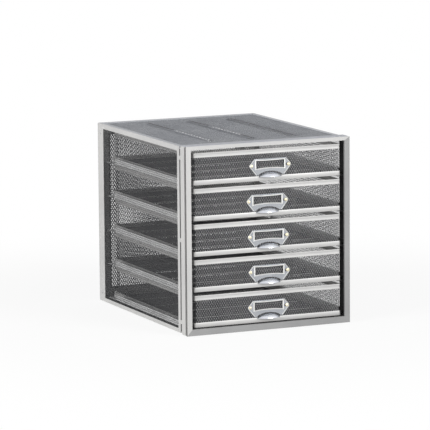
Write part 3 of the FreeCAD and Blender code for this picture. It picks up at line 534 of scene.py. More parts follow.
class Workshop:
    """Turns geometry trees into plain meshes, and hands pieces to the frame."""

    def __init__(self) -> None:
        """Build the shared shader groups and every finish of a slot or a CAD node."""
        ShaderGroups().build()
        self.materials = {slot: finish.material() for slot, finish in FINISHES.items()}
        self.node_materials = {node: self.own(finish) for node, finish in NODE_FINISHES.items()}

    def own(self, finish: MetalFinish) -> bpy.types.Material:
        """Return the material of a finish, which is built once."""
        return bpy.data.materials.get(finish.name) or finish.material()

    def grow(
        self, name: str, path: list[Vector], edges: Edges, tree: bpy.types.NodeTree, inputs: dict
    ) -> Piece:
        """Run a geometry tree on loose points and edges, and keep the result as a plain mesh.

        Args:
            name: The piece's name.
            path: Points in the row frame.
            edges: Pairs of point numbers.
            tree: The geometry tree.
            inputs: Values by the tree's input names.

        Returns:
            The piece, linked to the scene and with no modifier.
        """
        mesh = bpy.data.meshes.new(name)
        mesh.from_pydata([tuple(point) for point in path], edges, [])
        piece = link(name, mesh)
        modifier = piece.modifiers.new("grow", "NODES")
        modifier.node_group = tree
        names = {
            item.name: item.identifier
            for item in tree.interface.items_tree
            if item.item_type == "SOCKET" and item.in_out == "INPUT"
        }
        for key, value in inputs.items():
            modifier[names[key]] = value
        graph = bpy.context.evaluated_depsgraph_get()
        grown = bpy.data.meshes.new_from_object(piece.evaluated_get(graph))
        piece.modifiers.remove(modifier)
        grown.name = name
        piece.data = grown
        return piece

    def finish(self, piece: Piece, slot: Slot, node: str, own: MetalFinish | None = None) -> None:
        """Give a piece a finish of its own, or that of the node that it shows, or else of its slot.

        Args:
            piece: The piece or CAD node.
            slot: The record's material slot.
            node: Name of the CAD node.
            own: A finish for this piece alone, or None.
        """
        chosen = self.own(own) if own else self.node_materials.get(node, self.materials[slot])
        if not piece.data.materials:
            piece.data.materials.append(chosen)
        for number in range(len(piece.data.materials)):
            piece.data.materials[number] = chosen

    def mount(self, piece: Piece, body: str, slot: Slot, node: str, own: MetalFinish | None = None) -> None:
        """Put a finished piece on its body, in place of a CAD node.

        Args:
            piece: The piece, in place in the row frame.
            body: The CAD body that it rides on.
            slot: The record's material slot.
            node: CAD node that it stands for, alone or with other pieces.
            own: A finish for this piece alone, or None.
        """
        self.finish(piece, slot, node, own)
        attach(piece, body)
        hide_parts(node)
        LOG.info("%s rides on %s with %d faces", piece.name, body, len(piece.data.polygons))


@dataclass(frozen=True)
class ExpandedNet:
    """Expanded metal: zigzag strands that meet at their peaks, in rows.

    Attributes:
        strand_width: Width of a strand in the plane of the net, in metres.
        strand_depth: Depth of a strand through the net.
        knuckle: Half width of the bonds where strands meet, or 0 for plain crossings.
        cell_width: Short way of a diamond opening.
        cell_height: Long way of a diamond opening.
        rib_flat: Share of an embossed rib's half width that its crest takes.
        rib_runout: Length over which a rib rises at each end.
        tree_name: Name of the geometry tree, which all nets share.
    """

    strand_width: float
    strand_depth: float
    knuckle: float = 0.0
    cell_width: float = 3.9 * MM
    cell_height: float = 6.4 * MM
    rib_flat: float = 0.55
    rib_runout: float = 4.0 * MM
    tree_name: str = "expanded_net"

    def tree(self) -> bpy.types.NodeTree:
        """Build the geometry tree once.

        Returns:
            The tree.
        """
        known = bpy.data.node_groups.get(self.tree_name)
        if known:
            return known
        write = TreeWriter(bpy.data.node_groups.new(self.tree_name, "GeometryNodeTree"))
        for name, kind, default in (
            ("Geometry", "Geometry", None),
            ("Steps", "Int", 8),
            ("Pairs", "Int", 4),
            ("Pair step", "Vector", mm(0.0, 0.0, 6.0)),
            ("Swing", "Vector", mm(0.0, 0.0, 1.5)),
            ("Strand across", "Float", self.strand_depth),
            ("Strand along", "Float", self.strand_width),
            ("Knuckled", "Bool", False),
            ("Knuckle", "Vector", mm(1.0, 1.0, 1.0)),
            ("Rib axis", "Vector", ACROSS),
            ("Rib start", "Float", 0.0),
            ("Rib spacing", "Float", 1.0),
            ("Rib last", "Float", 0.0),
            ("Rib half width", "Float", 4.0 * MM),
            ("Rib run", "Vector", BACKWARDS),
            ("Rib low", "Float", 0.0),
            ("Rib high", "Float", 0.0),
            ("Rib rise", "Vector", (0.0, 0.0, 0.0)),
            ("Finish", "Material", None),
        ):
            write.socket(name, kind, default)
        write.socket("Geometry", "Geometry", output=True)
        given = write.node("NodeGroupInput").outputs
        net = write.out("GeometryNodeRealizeInstances", {"Geometry": self._rows(write, given)})
        rise = write.scale(given["Rib rise"], self._rib_mask(write, given))
        embossed = write.out("GeometryNodeSetPosition", {"Geometry": net, "Offset": rise})
        dressed = write.out("GeometryNodeSetMaterial", {"Geometry": embossed, "Material": given["Finish"]})
        write.node("NodeGroupOutput", {"Geometry": dressed})
        return write.tree

    def _rows(self, write: TreeWriter, given: Sockets) -> Socket:
        """Stack two kinds of zigzag strand, each the other's mirror image, with bonds where they meet.

        Args:
            write: Writer of the geometry tree.
            given: The tree's inputs.

        Returns:
            The strands as instances.
        """
        curve = write.out("GeometryNodeMeshToCurve", {"Mesh": given["Geometry"]})
        count = {"Curve": curve, "Count": given["Steps"]}
        sampled = write.out("GeometryNodeResampleCurve", count, mode="COUNT")
        parity = write.math("MODULO", write.out("GeometryNodeInputIndex"), 2.0)
        section = {"Width": given["Strand across"], "Height": given["Strand along"]}
        profile = write.out("GeometryNodeCurvePrimitiveQuadrilateral", section, mode="RECTANGLE")
        bead = write.out("GeometryNodeMeshUVSphere", {"Segments": 4, "Rings": 2, "Radius": 1.0})
        choice = {"Switch": given["Knuckled"], "True": bead}
        bond = write.out("GeometryNodeSwitch", choice, input_type="GEOMETRY")
        rows = []
        for row, (slope, start) in enumerate(((2.0, -1.0), (-2.0, 1.0))):
            sign = write.math("MULTIPLY_ADD", parity, slope, start)
            swing = {"Geometry": sampled, "Offset": write.scale(given["Swing"], sign)}
            swung = write.out("GeometryNodeSetPosition", swing)
            upright = write.out("GeometryNodeSetCurveNormal", {"Curve": swung}, mode="Z_UP")
            solid = {"Curve": upright, "Profile Curve": profile, "Fill Caps": True}
            strand = write.out("GeometryNodeCurveToMesh", solid)
            if row == 0:
                dots = {"Points": swung, "Instance": bond, "Scale": given["Knuckle"]}
                strand = write.join(write.out("GeometryNodeInstanceOnPoints", dots), strand)
            foot = write.scale(given["Pair step"], 0.5 * row)
            stack = {"Count": given["Pairs"], "Start Location": foot, "Offset": given["Pair step"]}
            line = write.out("GeometryNodeMeshLine", stack, mode="OFFSET")
            rows.append(write.out("GeometryNodeInstanceOnPoints", {"Points": line, "Instance": strand}))
        return write.join(*reversed(rows))

    def _rib_mask(self, write: TreeWriter, given: Sockets) -> Socket:
        """Mark the embossed ribs.

        Args:
            write: Writer of the geometry tree.
            given: The tree's inputs.

        Returns:
            1 on the ribs and 0 off them.
        """
        place = write.out("GeometryNodeInputPosition")
        across = write.math("SUBTRACT", write.dot(place, given["Rib axis"]), given["Rib start"])
        ordinal = write.math("ROUND", write.math("DIVIDE", across, given["Rib spacing"]))
        limited = write.math("MINIMUM", write.math("MAXIMUM", ordinal, 0.0), given["Rib last"])
        nearest = write.math("MULTIPLY", limited, given["Rib spacing"])
        distance = write.math("ABSOLUTE", write.math("SUBTRACT", across, nearest))
        inside = write.math("MULTIPLY", given["Rib half width"], self.rib_flat)
        off_side = write.smooth(distance, inside, given["Rib half width"])
        along = write.dot(place, given["Rib run"])
        low, high = given["Rib low"], given["Rib high"]
        first = write.smooth(along, low, write.math("ADD", low, self.rib_runout))
        last = write.smooth(along, write.math("SUBTRACT", high, self.rib_runout), high)
        kept = write.math("MULTIPLY", write.math("SUBTRACT", 1.0, off_side), first)
        return write.math("MULTIPLY", kept, write.math("SUBTRACT", 1.0, last))


@dataclass(frozen=True)
class RibPattern:
    """Embossed ribs of a net: where they lie, how wide they are and how far they rise."""

    axis: Triple
    start: float
    spacing: float
    last: float
    half_width: float
    run: Triple
    low: float
    high: float
    rise: Triple

    def inputs(self) -> dict[str, object]:
        """Return the ribs as inputs of the net's tree."""
        return {f"Rib {name.replace('_', ' ')}": value for name, value in vars(self).items()}


@dataclass
class NetMaker:
    """Lays expanded nets on flat panels and round trays."""

    shop: Workshop
    net: ExpandedNet
    bond_stretch: float = 1.3
    corner_steps: int = 3

    def panel(
        self, name: str, low: Vector, high: Vector, normal: int, slot: Slot, ribs: RibPattern | None = None
    ) -> Piece:
        """Lay a net over a flat box, in its middle plane.

        Args:
            name: The piece's name.
            low: Lowest corner of the box.
            high: Highest corner of the box.
            normal: Axis that the panel faces, 0 to 2.
            slot: The record's material slot.
            ribs: Embossed ribs, or None.

        Returns:
            The net as a plain mesh.
        """
        net = self.net
        run = 1 if normal != 1 else 0
        rise = 2 if normal != 2 else 0
        steps = int((high[run] - low[run]) // net.cell_width) * 2 + 1
        pairs, stack = self._pairs(high[rise] - low[rise])
        reach = (steps - 1) * net.cell_width / 2
        start = (low + high) / 2
        start[run] -= reach / 2
        start[rise] -= stack / 2
        end = start.copy()
        end[run] += reach
        bond = [net.knuckle] * 3
        bond[rise] *= self.bond_stretch
        bond[normal] = net.strand_depth
        inputs = {"Steps": steps, "Knuckled": net.knuckle > 0.0, "Knuckle": tuple(bond)}
        if rise == 0:
            inputs |= {"Strand across": net.strand_width, "Strand along": net.strand_depth}
        if ribs:
            inputs |= ribs.inputs()
        return self._grown(name, [start, end], [(0, 1)], pairs, rise, slot, inputs)

    def tube(self, name: str, low: Vector, high: Vector, corner: float, slot: Slot) -> Piece:
        """Lay a net round the four walls of a tray.

        Args:
            name: The piece's name.
            low: Lowest corner of the walls' middle plane.
            high: Highest corner of the walls' middle plane.
            corner: Radius of the upright corners.
            slot: The record's material slot.

        Returns:
            The net as a plain mesh.
        """
        pairs, stack = self._pairs(high.z - low.z)
        middle, half = (low + high) / 2, (high - low) / 2
        path = []
        for quarter, (right, rear) in enumerate(CORNERS):
            centre = (middle.x + right * (half.x - corner), middle.y + rear * (half.y - corner))
            turned = arc_points(centre, corner, 90.0 * quarter, 90.0 * (quarter + 1), self.corner_steps)
            path += [Vector((across, deep, middle.z - stack / 2)) for across, deep in turned]
        edges = [(number, (number + 1) % len(path)) for number in range(len(path))]
        around = sum((path[second] - path[first]).length for first, second in edges)
        steps = int(round(around / self.net.cell_width)) * 2
        return self._grown(name, path, edges, pairs, 2, slot, {"Steps": steps})

    def _pairs(self, height: float) -> tuple[int, float]:
        """Return how many pairs of strands fill a height, and the way from the first strand to the last."""
        pairs = int((height + self.net.cell_height / 4) // self.net.cell_height)
        return pairs, (pairs * 2 - 1) * self.net.cell_height / 2

    def _grown(
        self, name: str, path: list[Vector], edges: Edges, pairs: int, rise: int, slot: Slot, inputs: dict
    ) -> Piece:
        """Grow a net from its first strand's path.

        Args:
            name: The piece's name.
            path: Points of the path.
            edges: Pairs of point numbers.
            pairs: Number of pairs of strands.
            rise: Axis that they are stacked along, 0 to 2.
            slot: The record's material slot.
            inputs: Inputs of the tree that depend on the net's place.

        Returns:
            The net as a plain mesh.
        """
        step = Vector((0.0, 0.0, 0.0))
        step[rise] = self.net.cell_height
        shared = {
            "Pairs": pairs,
            "Pair step": tuple(step),
            "Swing": tuple(step / 4),
            "Strand across": self.net.strand_depth,
            "Strand along": self.net.strand_width,
            "Finish": self.shop.materials[slot],
        }
        return self.shop.grow(name, path, edges, self.net.tree(), shared | inputs)


@dataclass
class Sweep:
    """A mesh of swept forms: hems round a drawer, beads on its front, ridges and straight bars.

    Attributes:
        corner_turns: Number of straight pieces round a hem's corner.
        sides: Number of sides round a bead or a ridge.
        sharpest: Least share of a bead's width that a mitre reckons with.
        ridge_ends: Places along a ridge's end in half widths, each with the section's size there.
        ridge_foot: How deep a ridge's foot lies, as a share of its rise.
        made: The mesh, which piece() frees.
    """

    corner_turns: int = 5
    sides: int = 10
    sharpest: float = 0.5
    ridge_ends: tuple[Pair, ...] = ((0.0, 0.15), (1.0, 0.8), (2.5, 1.0))
    ridge_foot: float = -0.3
    made: bmesh.types.BMesh = field(default_factory=bmesh.new)

    @property
    def circle(self) -> list[Pair]:
        """Cosine and sine of each point round a bead or a ridge."""
        turns = [2.0 * math.pi * side / self.sides for side in range(self.sides)]
        return [(math.cos(turn), math.sin(turn)) for turn in turns]

    def hem(self, low: Vector, high: Vector, corner: float, profile: list[Pair]) -> None:
        """Sweep a closed profile round a rectangle with round corners.

        Args:
            low: Lowest corner of the outer box.
            high: Highest corner of the outer box.
            corner: Outer corner radius.
            profile: Pairs of distance inwards and height over the box's foot.
        """
        middle, half = (low + high) / 2, (high - low) / 2
        rings = []
        for quarter, (right, rear) in enumerate(CORNERS):
            for turn in range(self.corner_turns + 1):
                angle = math.radians(90.0 * (quarter + turn / self.corner_turns))
                ring = []
                for inwards, height in profile:
                    radius, reach = max(corner - inwards, 0.0), max(inwards, corner)
                    across = right * (half.x - reach) + radius * math.cos(angle)
                    deep = rear * (half.y - reach) + radius * math.sin(angle)
                    ring.append((middle.x + across, middle.y + deep, low.z + height))
                rings.append(ring)
        self.skin(rings, True)

    def bead(self, path: list[Pair], depth: float, width: float, rise: float, closed: bool = True) -> None:
        """Sweep an oval bead along a line on an upright plane.

        Args:
            path: Places across and up.
            depth: The plane's place along Y.
            width: Half width of the bead on the plane.
            rise: How far the bead stands out.
            closed: True for a line that runs back to its start.
        """
        rings = []
        for number, (across, up) in enumerate(path):
            here = Vector((across, up))
            before = Vector(path[number - 1])
            after = Vector(path[(number + 1) % len(path)])
            if not closed and number == 0:
                before = 2 * here - after
            if not closed and number == len(path) - 1:
                after = 2 * here - before
            first = (here - before).normalized()
            second = (after - here).normalized()
            normal = Vector((-(first + second).y, (first + second).x)).normalized()
            wide = normal * (width / max(normal.dot(Vector((-first.y, first.x))), self.sharpest))
            rings.append([(across + wide.x * c, depth - rise * s, up + wide.y * c) for c, s in self.circle])
        self.skin(rings, closed)

    def ridge(self, start: Vector, end: Vector, width: float, rise: float) -> None:
        """Add a low half-round ridge between two points, with tapered ends.

        Args:
            start: Middle of the ridge's foot at one end.
            end: Middle of its foot at the other end.
            width: Half width of the foot.
            rise: Height of the crest.
        """
        length = (end - start).length
        along = (end - start).normalized()
        side = Vector((along.y, -along.x, 0.0)) * width
        crest = Vector((0.0, 0.0, rise))
        section = [side * c + crest * max(s, self.ridge_foot) for c, s in self.circle]
        near = [(share * width, size) for share, size in self.ridge_ends]
        far = [(length - place, size) for place, size in reversed(near)]
        rings = [[start + along * place + out * size for out in section] for place, size in near + far]
        self.skin(rings, False)

    def prism(self, outline: list[Pair], front: float, rear: float) -> None:
        """Add a straight bar along Y, with an outline of places across and up."""
        self.skin([[(x, deep, z) for x, z in outline] for deep in (front, rear)], False)

    def points(self, places: list) -> list[bmesh.types.BMVert]:
        """Add points to the mesh and return them."""
        return [self.made.verts.new(place) for place in places]

    def skin(self, sections: list[list], closed: bool) -> None:
        """Join sections of equal count by four-sided faces, and cap open ends.

        Args:
            sections: Places of each section's points, in order.
            closed: True for sections that run back to the first.
        """
        rings = [self.points(section) for section in sections]
        for number in range(len(rings) if closed else len(rings) - 1):
            first, second = rings[number], rings[(number + 1) % len(rings)]
            for corner in range(len(first)):
                following = (corner + 1) % len(first)
                self.made.faces.new((first[corner], first[following], second[following], second[corner]))
        if not closed:
            self.made.faces.new(rings[0])
            self.made.faces.new(rings[-1][::-1])

    def piece(self, name: str, smooth: bool = True) -> Piece:
        """Clean the mesh and link it as an object.

        Args:
            name: The piece's name.
            smooth: True for smooth faces.

        Returns:
            The new object.
        """
        bmesh.ops.remove_doubles(self.made, verts=self.made.verts, dist=MERGE_DISTANCE)
        bmesh.ops.recalc_face_normals(self.made, faces=self.made.faces)
        for face in self.made.faces:
            face.smooth = smooth
        mesh = bpy.data.meshes.new(name)
        self.made.to_mesh(mesh)
        self.made.free()
        mesh.set_sharp_from_angle(angle=SHARP_ANGLE)
        return link(name, mesh)


@dataclass(frozen=True)
class LabelPull:
    """The pressed label holder: a plate with beads, an arched relief and a half-dome cup.

    Its sizes are in metres, up from the foot of the drawer and out from the middle of the pull.

    Attributes:
        middle: Place of the pull's middle across the drawer.
        base: Height of the drawer's foot.
        back: Place of the plate's back along Y.
    """

    middle: float
    base: float
    back: float
    ear: Pair = mm(31.0, 23.5)
    ear_radius: float = 3.7 * MM
    ear_angles: Pair = (-42.0, 52.0)
    ear_steps: int = 8
    foot: Pair = mm(24.0, 8.7)
    foot_slant: float = 1.2
    shoulder: Pair = mm(26.4, 34.0)
    shoulder_slant: float = 0.6
    window_half: float = 23.4 * MM
    window_low: float = 19.0 * MM
    window_high: float = 31.0 * MM
    window_crown: float = 1.6 * MM
    window_sag: float = 0.7 * MM
    window_steps: int = 12
    window_bead: Pair = mm(1.0, 1.3)
    edge_inset: float = 0.75 * MM
    edge_bead: Pair = mm(0.6, 0.8)
    relief_middle: float = 6.3 * MM
    relief_rise: float = 8.5 * MM
    relief_stretch: float = 2.45
    relief_steps: int = 20
    slot_middle: Pair = mm(28.2, 23.5)
    slot_radius: float = 2.0 * MM
    slot_sides: int = 12
    sheet: float = 1.0 * MM
    cup_half: float = 23.4 * MM
    cup_radius: float = 10.2 * MM
    cup_axis: float = 3.0 * MM
    cup_low: float = 6.3 * MM
    cup_trim: float = 0.2 * MM
    cup_least: float = 1.001
    cup_spans: int = 24
    cup_turns: int = 10

    def build(self, name: str) -> tuple[Piece, ...]:
        """Make the pieces.

        Args:
            name: Start of their names.

        Returns:
            The plate, the cup and the beads.
        """
        made = {"plate": self._plate(), "cup": self._cup(), "beads": self._beads()}
        return tuple(sweep.piece(f"{name}_{part}") for part, sweep in made.items())

    def _placed(self, outline: list[Pair], side: int = 1) -> list[Pair]:
        """Turn places out and up into the row frame, to the right or, with -1, to the left."""
        return [(self.middle + side * x, self.base + z) for x, z in outline]

    def _edge(self, inset: float) -> list[Pair]:
        """Right-hand edge of the plate from its foot to its shoulder.

        Args:
            inset: How far it is moved inwards.

        Returns:
            Its points out and up.
        """
        foot = (self.foot[0] - self.foot_slant * inset, self.foot[1] + inset)
        shoulder = (self.shoulder[0] - self.shoulder_slant * inset, self.shoulder[1] - inset)
        ear = arc_points(self.ear, self.ear_radius - inset, *self.ear_angles, self.ear_steps)
        return [foot, *ear, shoulder]

    def _window(self, outset: float) -> list[Pair]:
        """Outline of the card window, bowed along its foot and its head.

        Args:
            outset: How far it is moved outwards.

        Returns:
            Its points out and up.
        """
        points = []
        for heading, edge, bow in (
            (-1.0, self.window_low - outset, self.window_crown),
            (1.0, self.window_high + outset, -self.window_sag),
        ):
            for step in range(self.window_steps + 1):
                share = heading * (1.0 - 2.0 * step / self.window_steps)
                points.append(((self.window_half + outset) * share, edge + bow * (1.0 - share * share)))
        return points

    def _beads(self) -> Sweep:
        """Sweep the beads round the window and along both edges.

        Returns:
            Their mesh.
        """
        sweep = Sweep()
        front = self.back - self.sheet
        width, rise = self.window_bead
        sweep.bead(self._placed(self._window(width)), front, width, rise)
        for side in (1, -1):
            sweep.bead(self._placed(self._edge(self.edge_inset), side), front, *self.edge_bead, False)
        return sweep

    def _plate(self) -> Sweep:
        """Cut the flat plate with its window, a slot in its right ear and its arched relief.

        Returns:
            Its mesh.
        """
        low = math.degrees(math.asin((self.foot[1] - self.relief_middle) / self.relief_rise))
        centre, rise = (0.0, self.relief_middle), self.relief_rise
        relief = arc_points(centre, rise, 180.0 - low, low, self.relief_steps, self.relief_stretch)
        right = self._edge(0.0)
        left = [(-x, z) for x, z in reversed(right)]
        last = 360.0 - 360.0 / self.slot_sides
        slot = arc_points(self.slot_middle, self.slot_radius, 0.0, last, self.slot_sides - 1)
        sweep = Sweep()
        made = sweep.made
        levels = []
        for deep in (self.back - self.sheet, self.back):
            loops = [
                sweep.points([(x, deep, z) for x, z in self._placed(outline)])
                for outline in (relief + right + left, self._window(0.0), slot)
            ]
            edges = [made.edges.new((loop[i - 1], loop[i])) for loop in loops for i in range(len(loop))]
            bmesh.ops.triangle_fill(made, use_beauty=True, edges=edges)
            levels.append(loops)
        for first, second in zip(*levels):
            for i in range(len(first)):
                made.faces.new((first[i - 1], first[i], second[i], second[i - 1]))
        return sweep

    def _cup(self) -> Sweep:
        """Press the cup: a lens-shaped dome about an axis along the drawer's front, open below.

        Returns:
            Its mesh.
        """
        bow = (self.cup_half**2 + self.cup_radius**2) / (2.0 * self.cup_radius)
        drop = self.cup_low - self.cup_axis
        reach = math.sqrt(bow**2 - (drop + bow - self.cup_radius) ** 2) - self.cup_trim
        upright = math.pi / 2
        rings = []
        for turn in range(self.cup_turns + 1):
            ring = []
            for inwards, order in ((0.0, 1), (self.sheet, -1)):
                for step in range(self.cup_spans + 1)[::order]:
                    across = (reach - inwards) * math.sin(upright * (2.0 * step / self.cup_spans - 1.0))
                    radius = math.sqrt(bow**2 - across**2) - bow + self.cup_radius - inwards
                    radius = max(radius, drop * self.cup_least)
                    angle = upright + (math.asin(drop / radius) - upright) * turn / self.cup_turns
                    up = self.base + self.cup_axis + radius * math.sin(angle)
                    ring.append((self.middle + across, self.back - radius * math.cos(angle), up))
            rings.append(ring)
        sweep = Sweep()
        sweep.skin(rings, False)
        return sweep


@dataclass
class Case:
    """The nets of the case, the crests of the lid's ribs and the folded edges of the back's net."""

    shop: Workshop
    nets: dict[Wall, NetMaker]
    selvedge_nets: NetMaker
    lid_sheet: float = 0.6 * MM
    rib_places: tuple[float, ...] = mm(-70.0, 0.0, 70.0)
    rib_half_width: float = 4.5 * MM
    rib_span: Pair = mm(-113.4, 129.5)
    rib_rise: float = 2.0 * MM
    shaded_crests: tuple[Triple, ...] = (
        mm(-70.0, 25.0, 128.0),
        mm(0.0, 50.0, 128.0),
        mm(0.0, -112.0, -70.0),
        mm(70.0, -112.0, 128.0),
    )
    shaded_section: Pair = mm(2.0, 0.4)
    lit_crests: tuple[Triple, ...] = (mm(-70.0, -112.0, 25.0), mm(0.0, -70.0, 50.0))
    lit_section: Pair = mm(1.15, 0.5)
    crest_pitch: float = 11.0 * MM
    crest_share: float = 0.55
    crest_sink: float = 0.5 * MM
    selvedge_width: float = 17.0 * MM
    selvedge_layer: Pair = mm(0.9, 0.3)

    def build(self) -> None:
        """Lay the five nets, the crests of the lid's ribs and the selvedges."""
        for wall in Wall:
            node, normal = wall.value
            low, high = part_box(node)
            ribs = None
            if wall is Wall.TOP:
                high = Vector((high.x, high.y, low.z + self.lid_sheet))
                ribs = RibPattern(
                    axis=ACROSS,
                    start=self.rib_places[0],
                    spacing=self.rib_places[1] - self.rib_places[0],
                    last=len(self.rib_places) - 1.0,
                    half_width=self.rib_half_width,
                    run=BACKWARDS,
                    low=self.rib_span[0],
                    high=self.rib_span[1],
                    rise=(0.0, 0.0, self.rib_rise),
                )
            piece = self.nets[wall].panel(f"{node}_net", low, high, normal, Slot.CASE_MESH, ribs)
            self.shop.mount(piece, "case", Slot.CASE_MESH, node)
        self._crests()
        self._selvedges()

    def _selvedges(self) -> None:
        """Lay a second thickness of net along the back's upright edges, where its sheet is folded over."""
        node, normal = Wall.BACK.value
        low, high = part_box(node)
        front, rear = self.selvedge_layer
        for side, start, end in (
            ("left", low.x, low.x + self.selvedge_width),
            ("right", high.x - self.selvedge_width, high.x),
        ):
            first = Vector((start, low.y - front, low.z))
            last = Vector((end, low.y - rear, high.z))
            name = f"{node}_{side}_selvedge"
            piece = self.selvedge_nets.panel(name, first, last, normal, Slot.CASE_MESH)
            self.shop.mount(piece, "case", Slot.CASE_MESH, node)

    def _crests(self) -> None:
        """Add the strands that lie flat on the lid's ribs: dark as painted shade on the shaded crests, and
        bright as painted highlight where they are dashes.
        """
        node = Wall.TOP.value[0]
        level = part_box(node)[0].z + self.crest_sink + self.rib_rise
        pitch = self.crest_pitch
        dashes = tuple(
            (across, front + number * pitch, front + (number + self.crest_share) * pitch)
            for across, front, rear in self.lit_crests
            for number in range(int((rear - front) / pitch))
        )
        for kind, lines, section, finish in (
            ("shaded", self.shaded_crests, self.shaded_section, SHADED_CREST_FINISH),
            ("lit", dashes, self.lit_section, LIT_CREST_FINISH),
        ):
            sweep = Sweep()
            for across, front, rear in lines:
                sweep.ridge(Vector((across, front, level)), Vector((across, rear, level)), *section)
            self.shop.mount(sweep.piece(f"{node}_{kind}_crests"), "case", Slot.CASE_MESH, node, finish)


@dataclass
class Runner:
    """One ledge: a strip with a rolled bend, a flange with a slanted tail, a guide bead and a stop tab.

    Lengths across are measured inwards from the flange, and those up from the ledge's underside.
    """

    shop: Workshop
    side: str
    number: int
    sheet: float = 1.0 * MM
    bend: float = 1.6 * MM
    bend_steps: int = 5
    edge_steps: int = 6
    flange: float = 9.6 * MM
    tail: float = 31.0 * MM
    tail_cut: float = 5.0 * MM
    guide_middle: float = 5.15 * MM
    guide_half: float = 0.4 * MM
    guide_rise: float = 2.5 * MM
    guide_margin: float = 12.0 * MM
    stop: float = 8.0 * MM

    def build(self) -> None:
        """Replace the CAD's square ledge by the folded one."""
        sweep = Sweep()
        node = f"{self.side}_runner_{self.number}"
        low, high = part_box(node)
        outer, inwards = (low.x, 1.0) if self.side == "left" else (high.x, -1.0)
        reach = high.x - low.x
        tail_end = high.y - self.tail
        tail_start = tail_end - self.tail_cut
        sheet, bend, edge = self.sheet, self.bend, self.sheet / 2

        def placed(outline: list[Pair]) -> list[Pair]:
            """Turn places inwards and up into places in the row frame."""
            return [(outer + inwards * x, low.z + z) for x, z in outline]

        lip = arc_points((reach - edge, edge), edge, -90.0, 90.0, self.edge_steps)
        outside = arc_points((bend, bend), bend, 180.0, 270.0, self.bend_steps)
        inside = arc_points((bend, bend), bend - sheet, 270.0, 180.0, self.bend_steps)
        crown = arc_points((edge, self.flange - edge), edge, 0.0, 180.0, self.edge_steps)
        sweep.prism(placed(outside + lip + inside + crown), low.y, tail_start)
        heel = arc_points((edge, edge), edge, 90.0, 270.0, self.edge_steps)
        sweep.prism(placed(heel + lip), tail_start, high.y)
        web = [(0.0, sheet), (sheet, sheet), (sheet, self.flange - edge), (0.0, self.flange - edge)]
        first = sweep.points([(x, tail_start, z) for x, z in placed(web)])
        last = sweep.points([(x, tail_end, z) for x, z in placed(web[:2])])
        for corners in (
            (first[0], first[1], first[2], first[3]),
            (first[0], last[0], last[1], first[1]),
            (first[0], first[3], last[0]),
            (first[1], last[1], first[2]),
            (first[3], first[2], last[1], last[0]),
        ):
            sweep.made.faces.new(corners)
        side = outer + inwards * (reach - self.guide_middle)
        start = Vector((side, low.y + self.guide_margin, low.z + sheet))
        end = Vector((side, high.y, low.z + sheet))
        sweep.ridge(start, end, self.guide_half, self.guide_rise)
        narrow = reach - self.guide_middle - self.guide_half
        shoulder = sheet + self.stop - bend
        tab = [(narrow, sheet), (reach, sheet)]
        tab += arc_points((reach - bend, shoulder), bend, 0.0, 90.0, self.bend_steps)
        tab += arc_points((narrow + bend, shoulder), bend, 90.0, 180.0, self.bend_steps)
        sweep.prism(placed(tab), high.y - sheet, high.y)
        self.shop.mount(sweep.piece(f"{node}_ledge", False), "case", Slot.RUNNER, node)


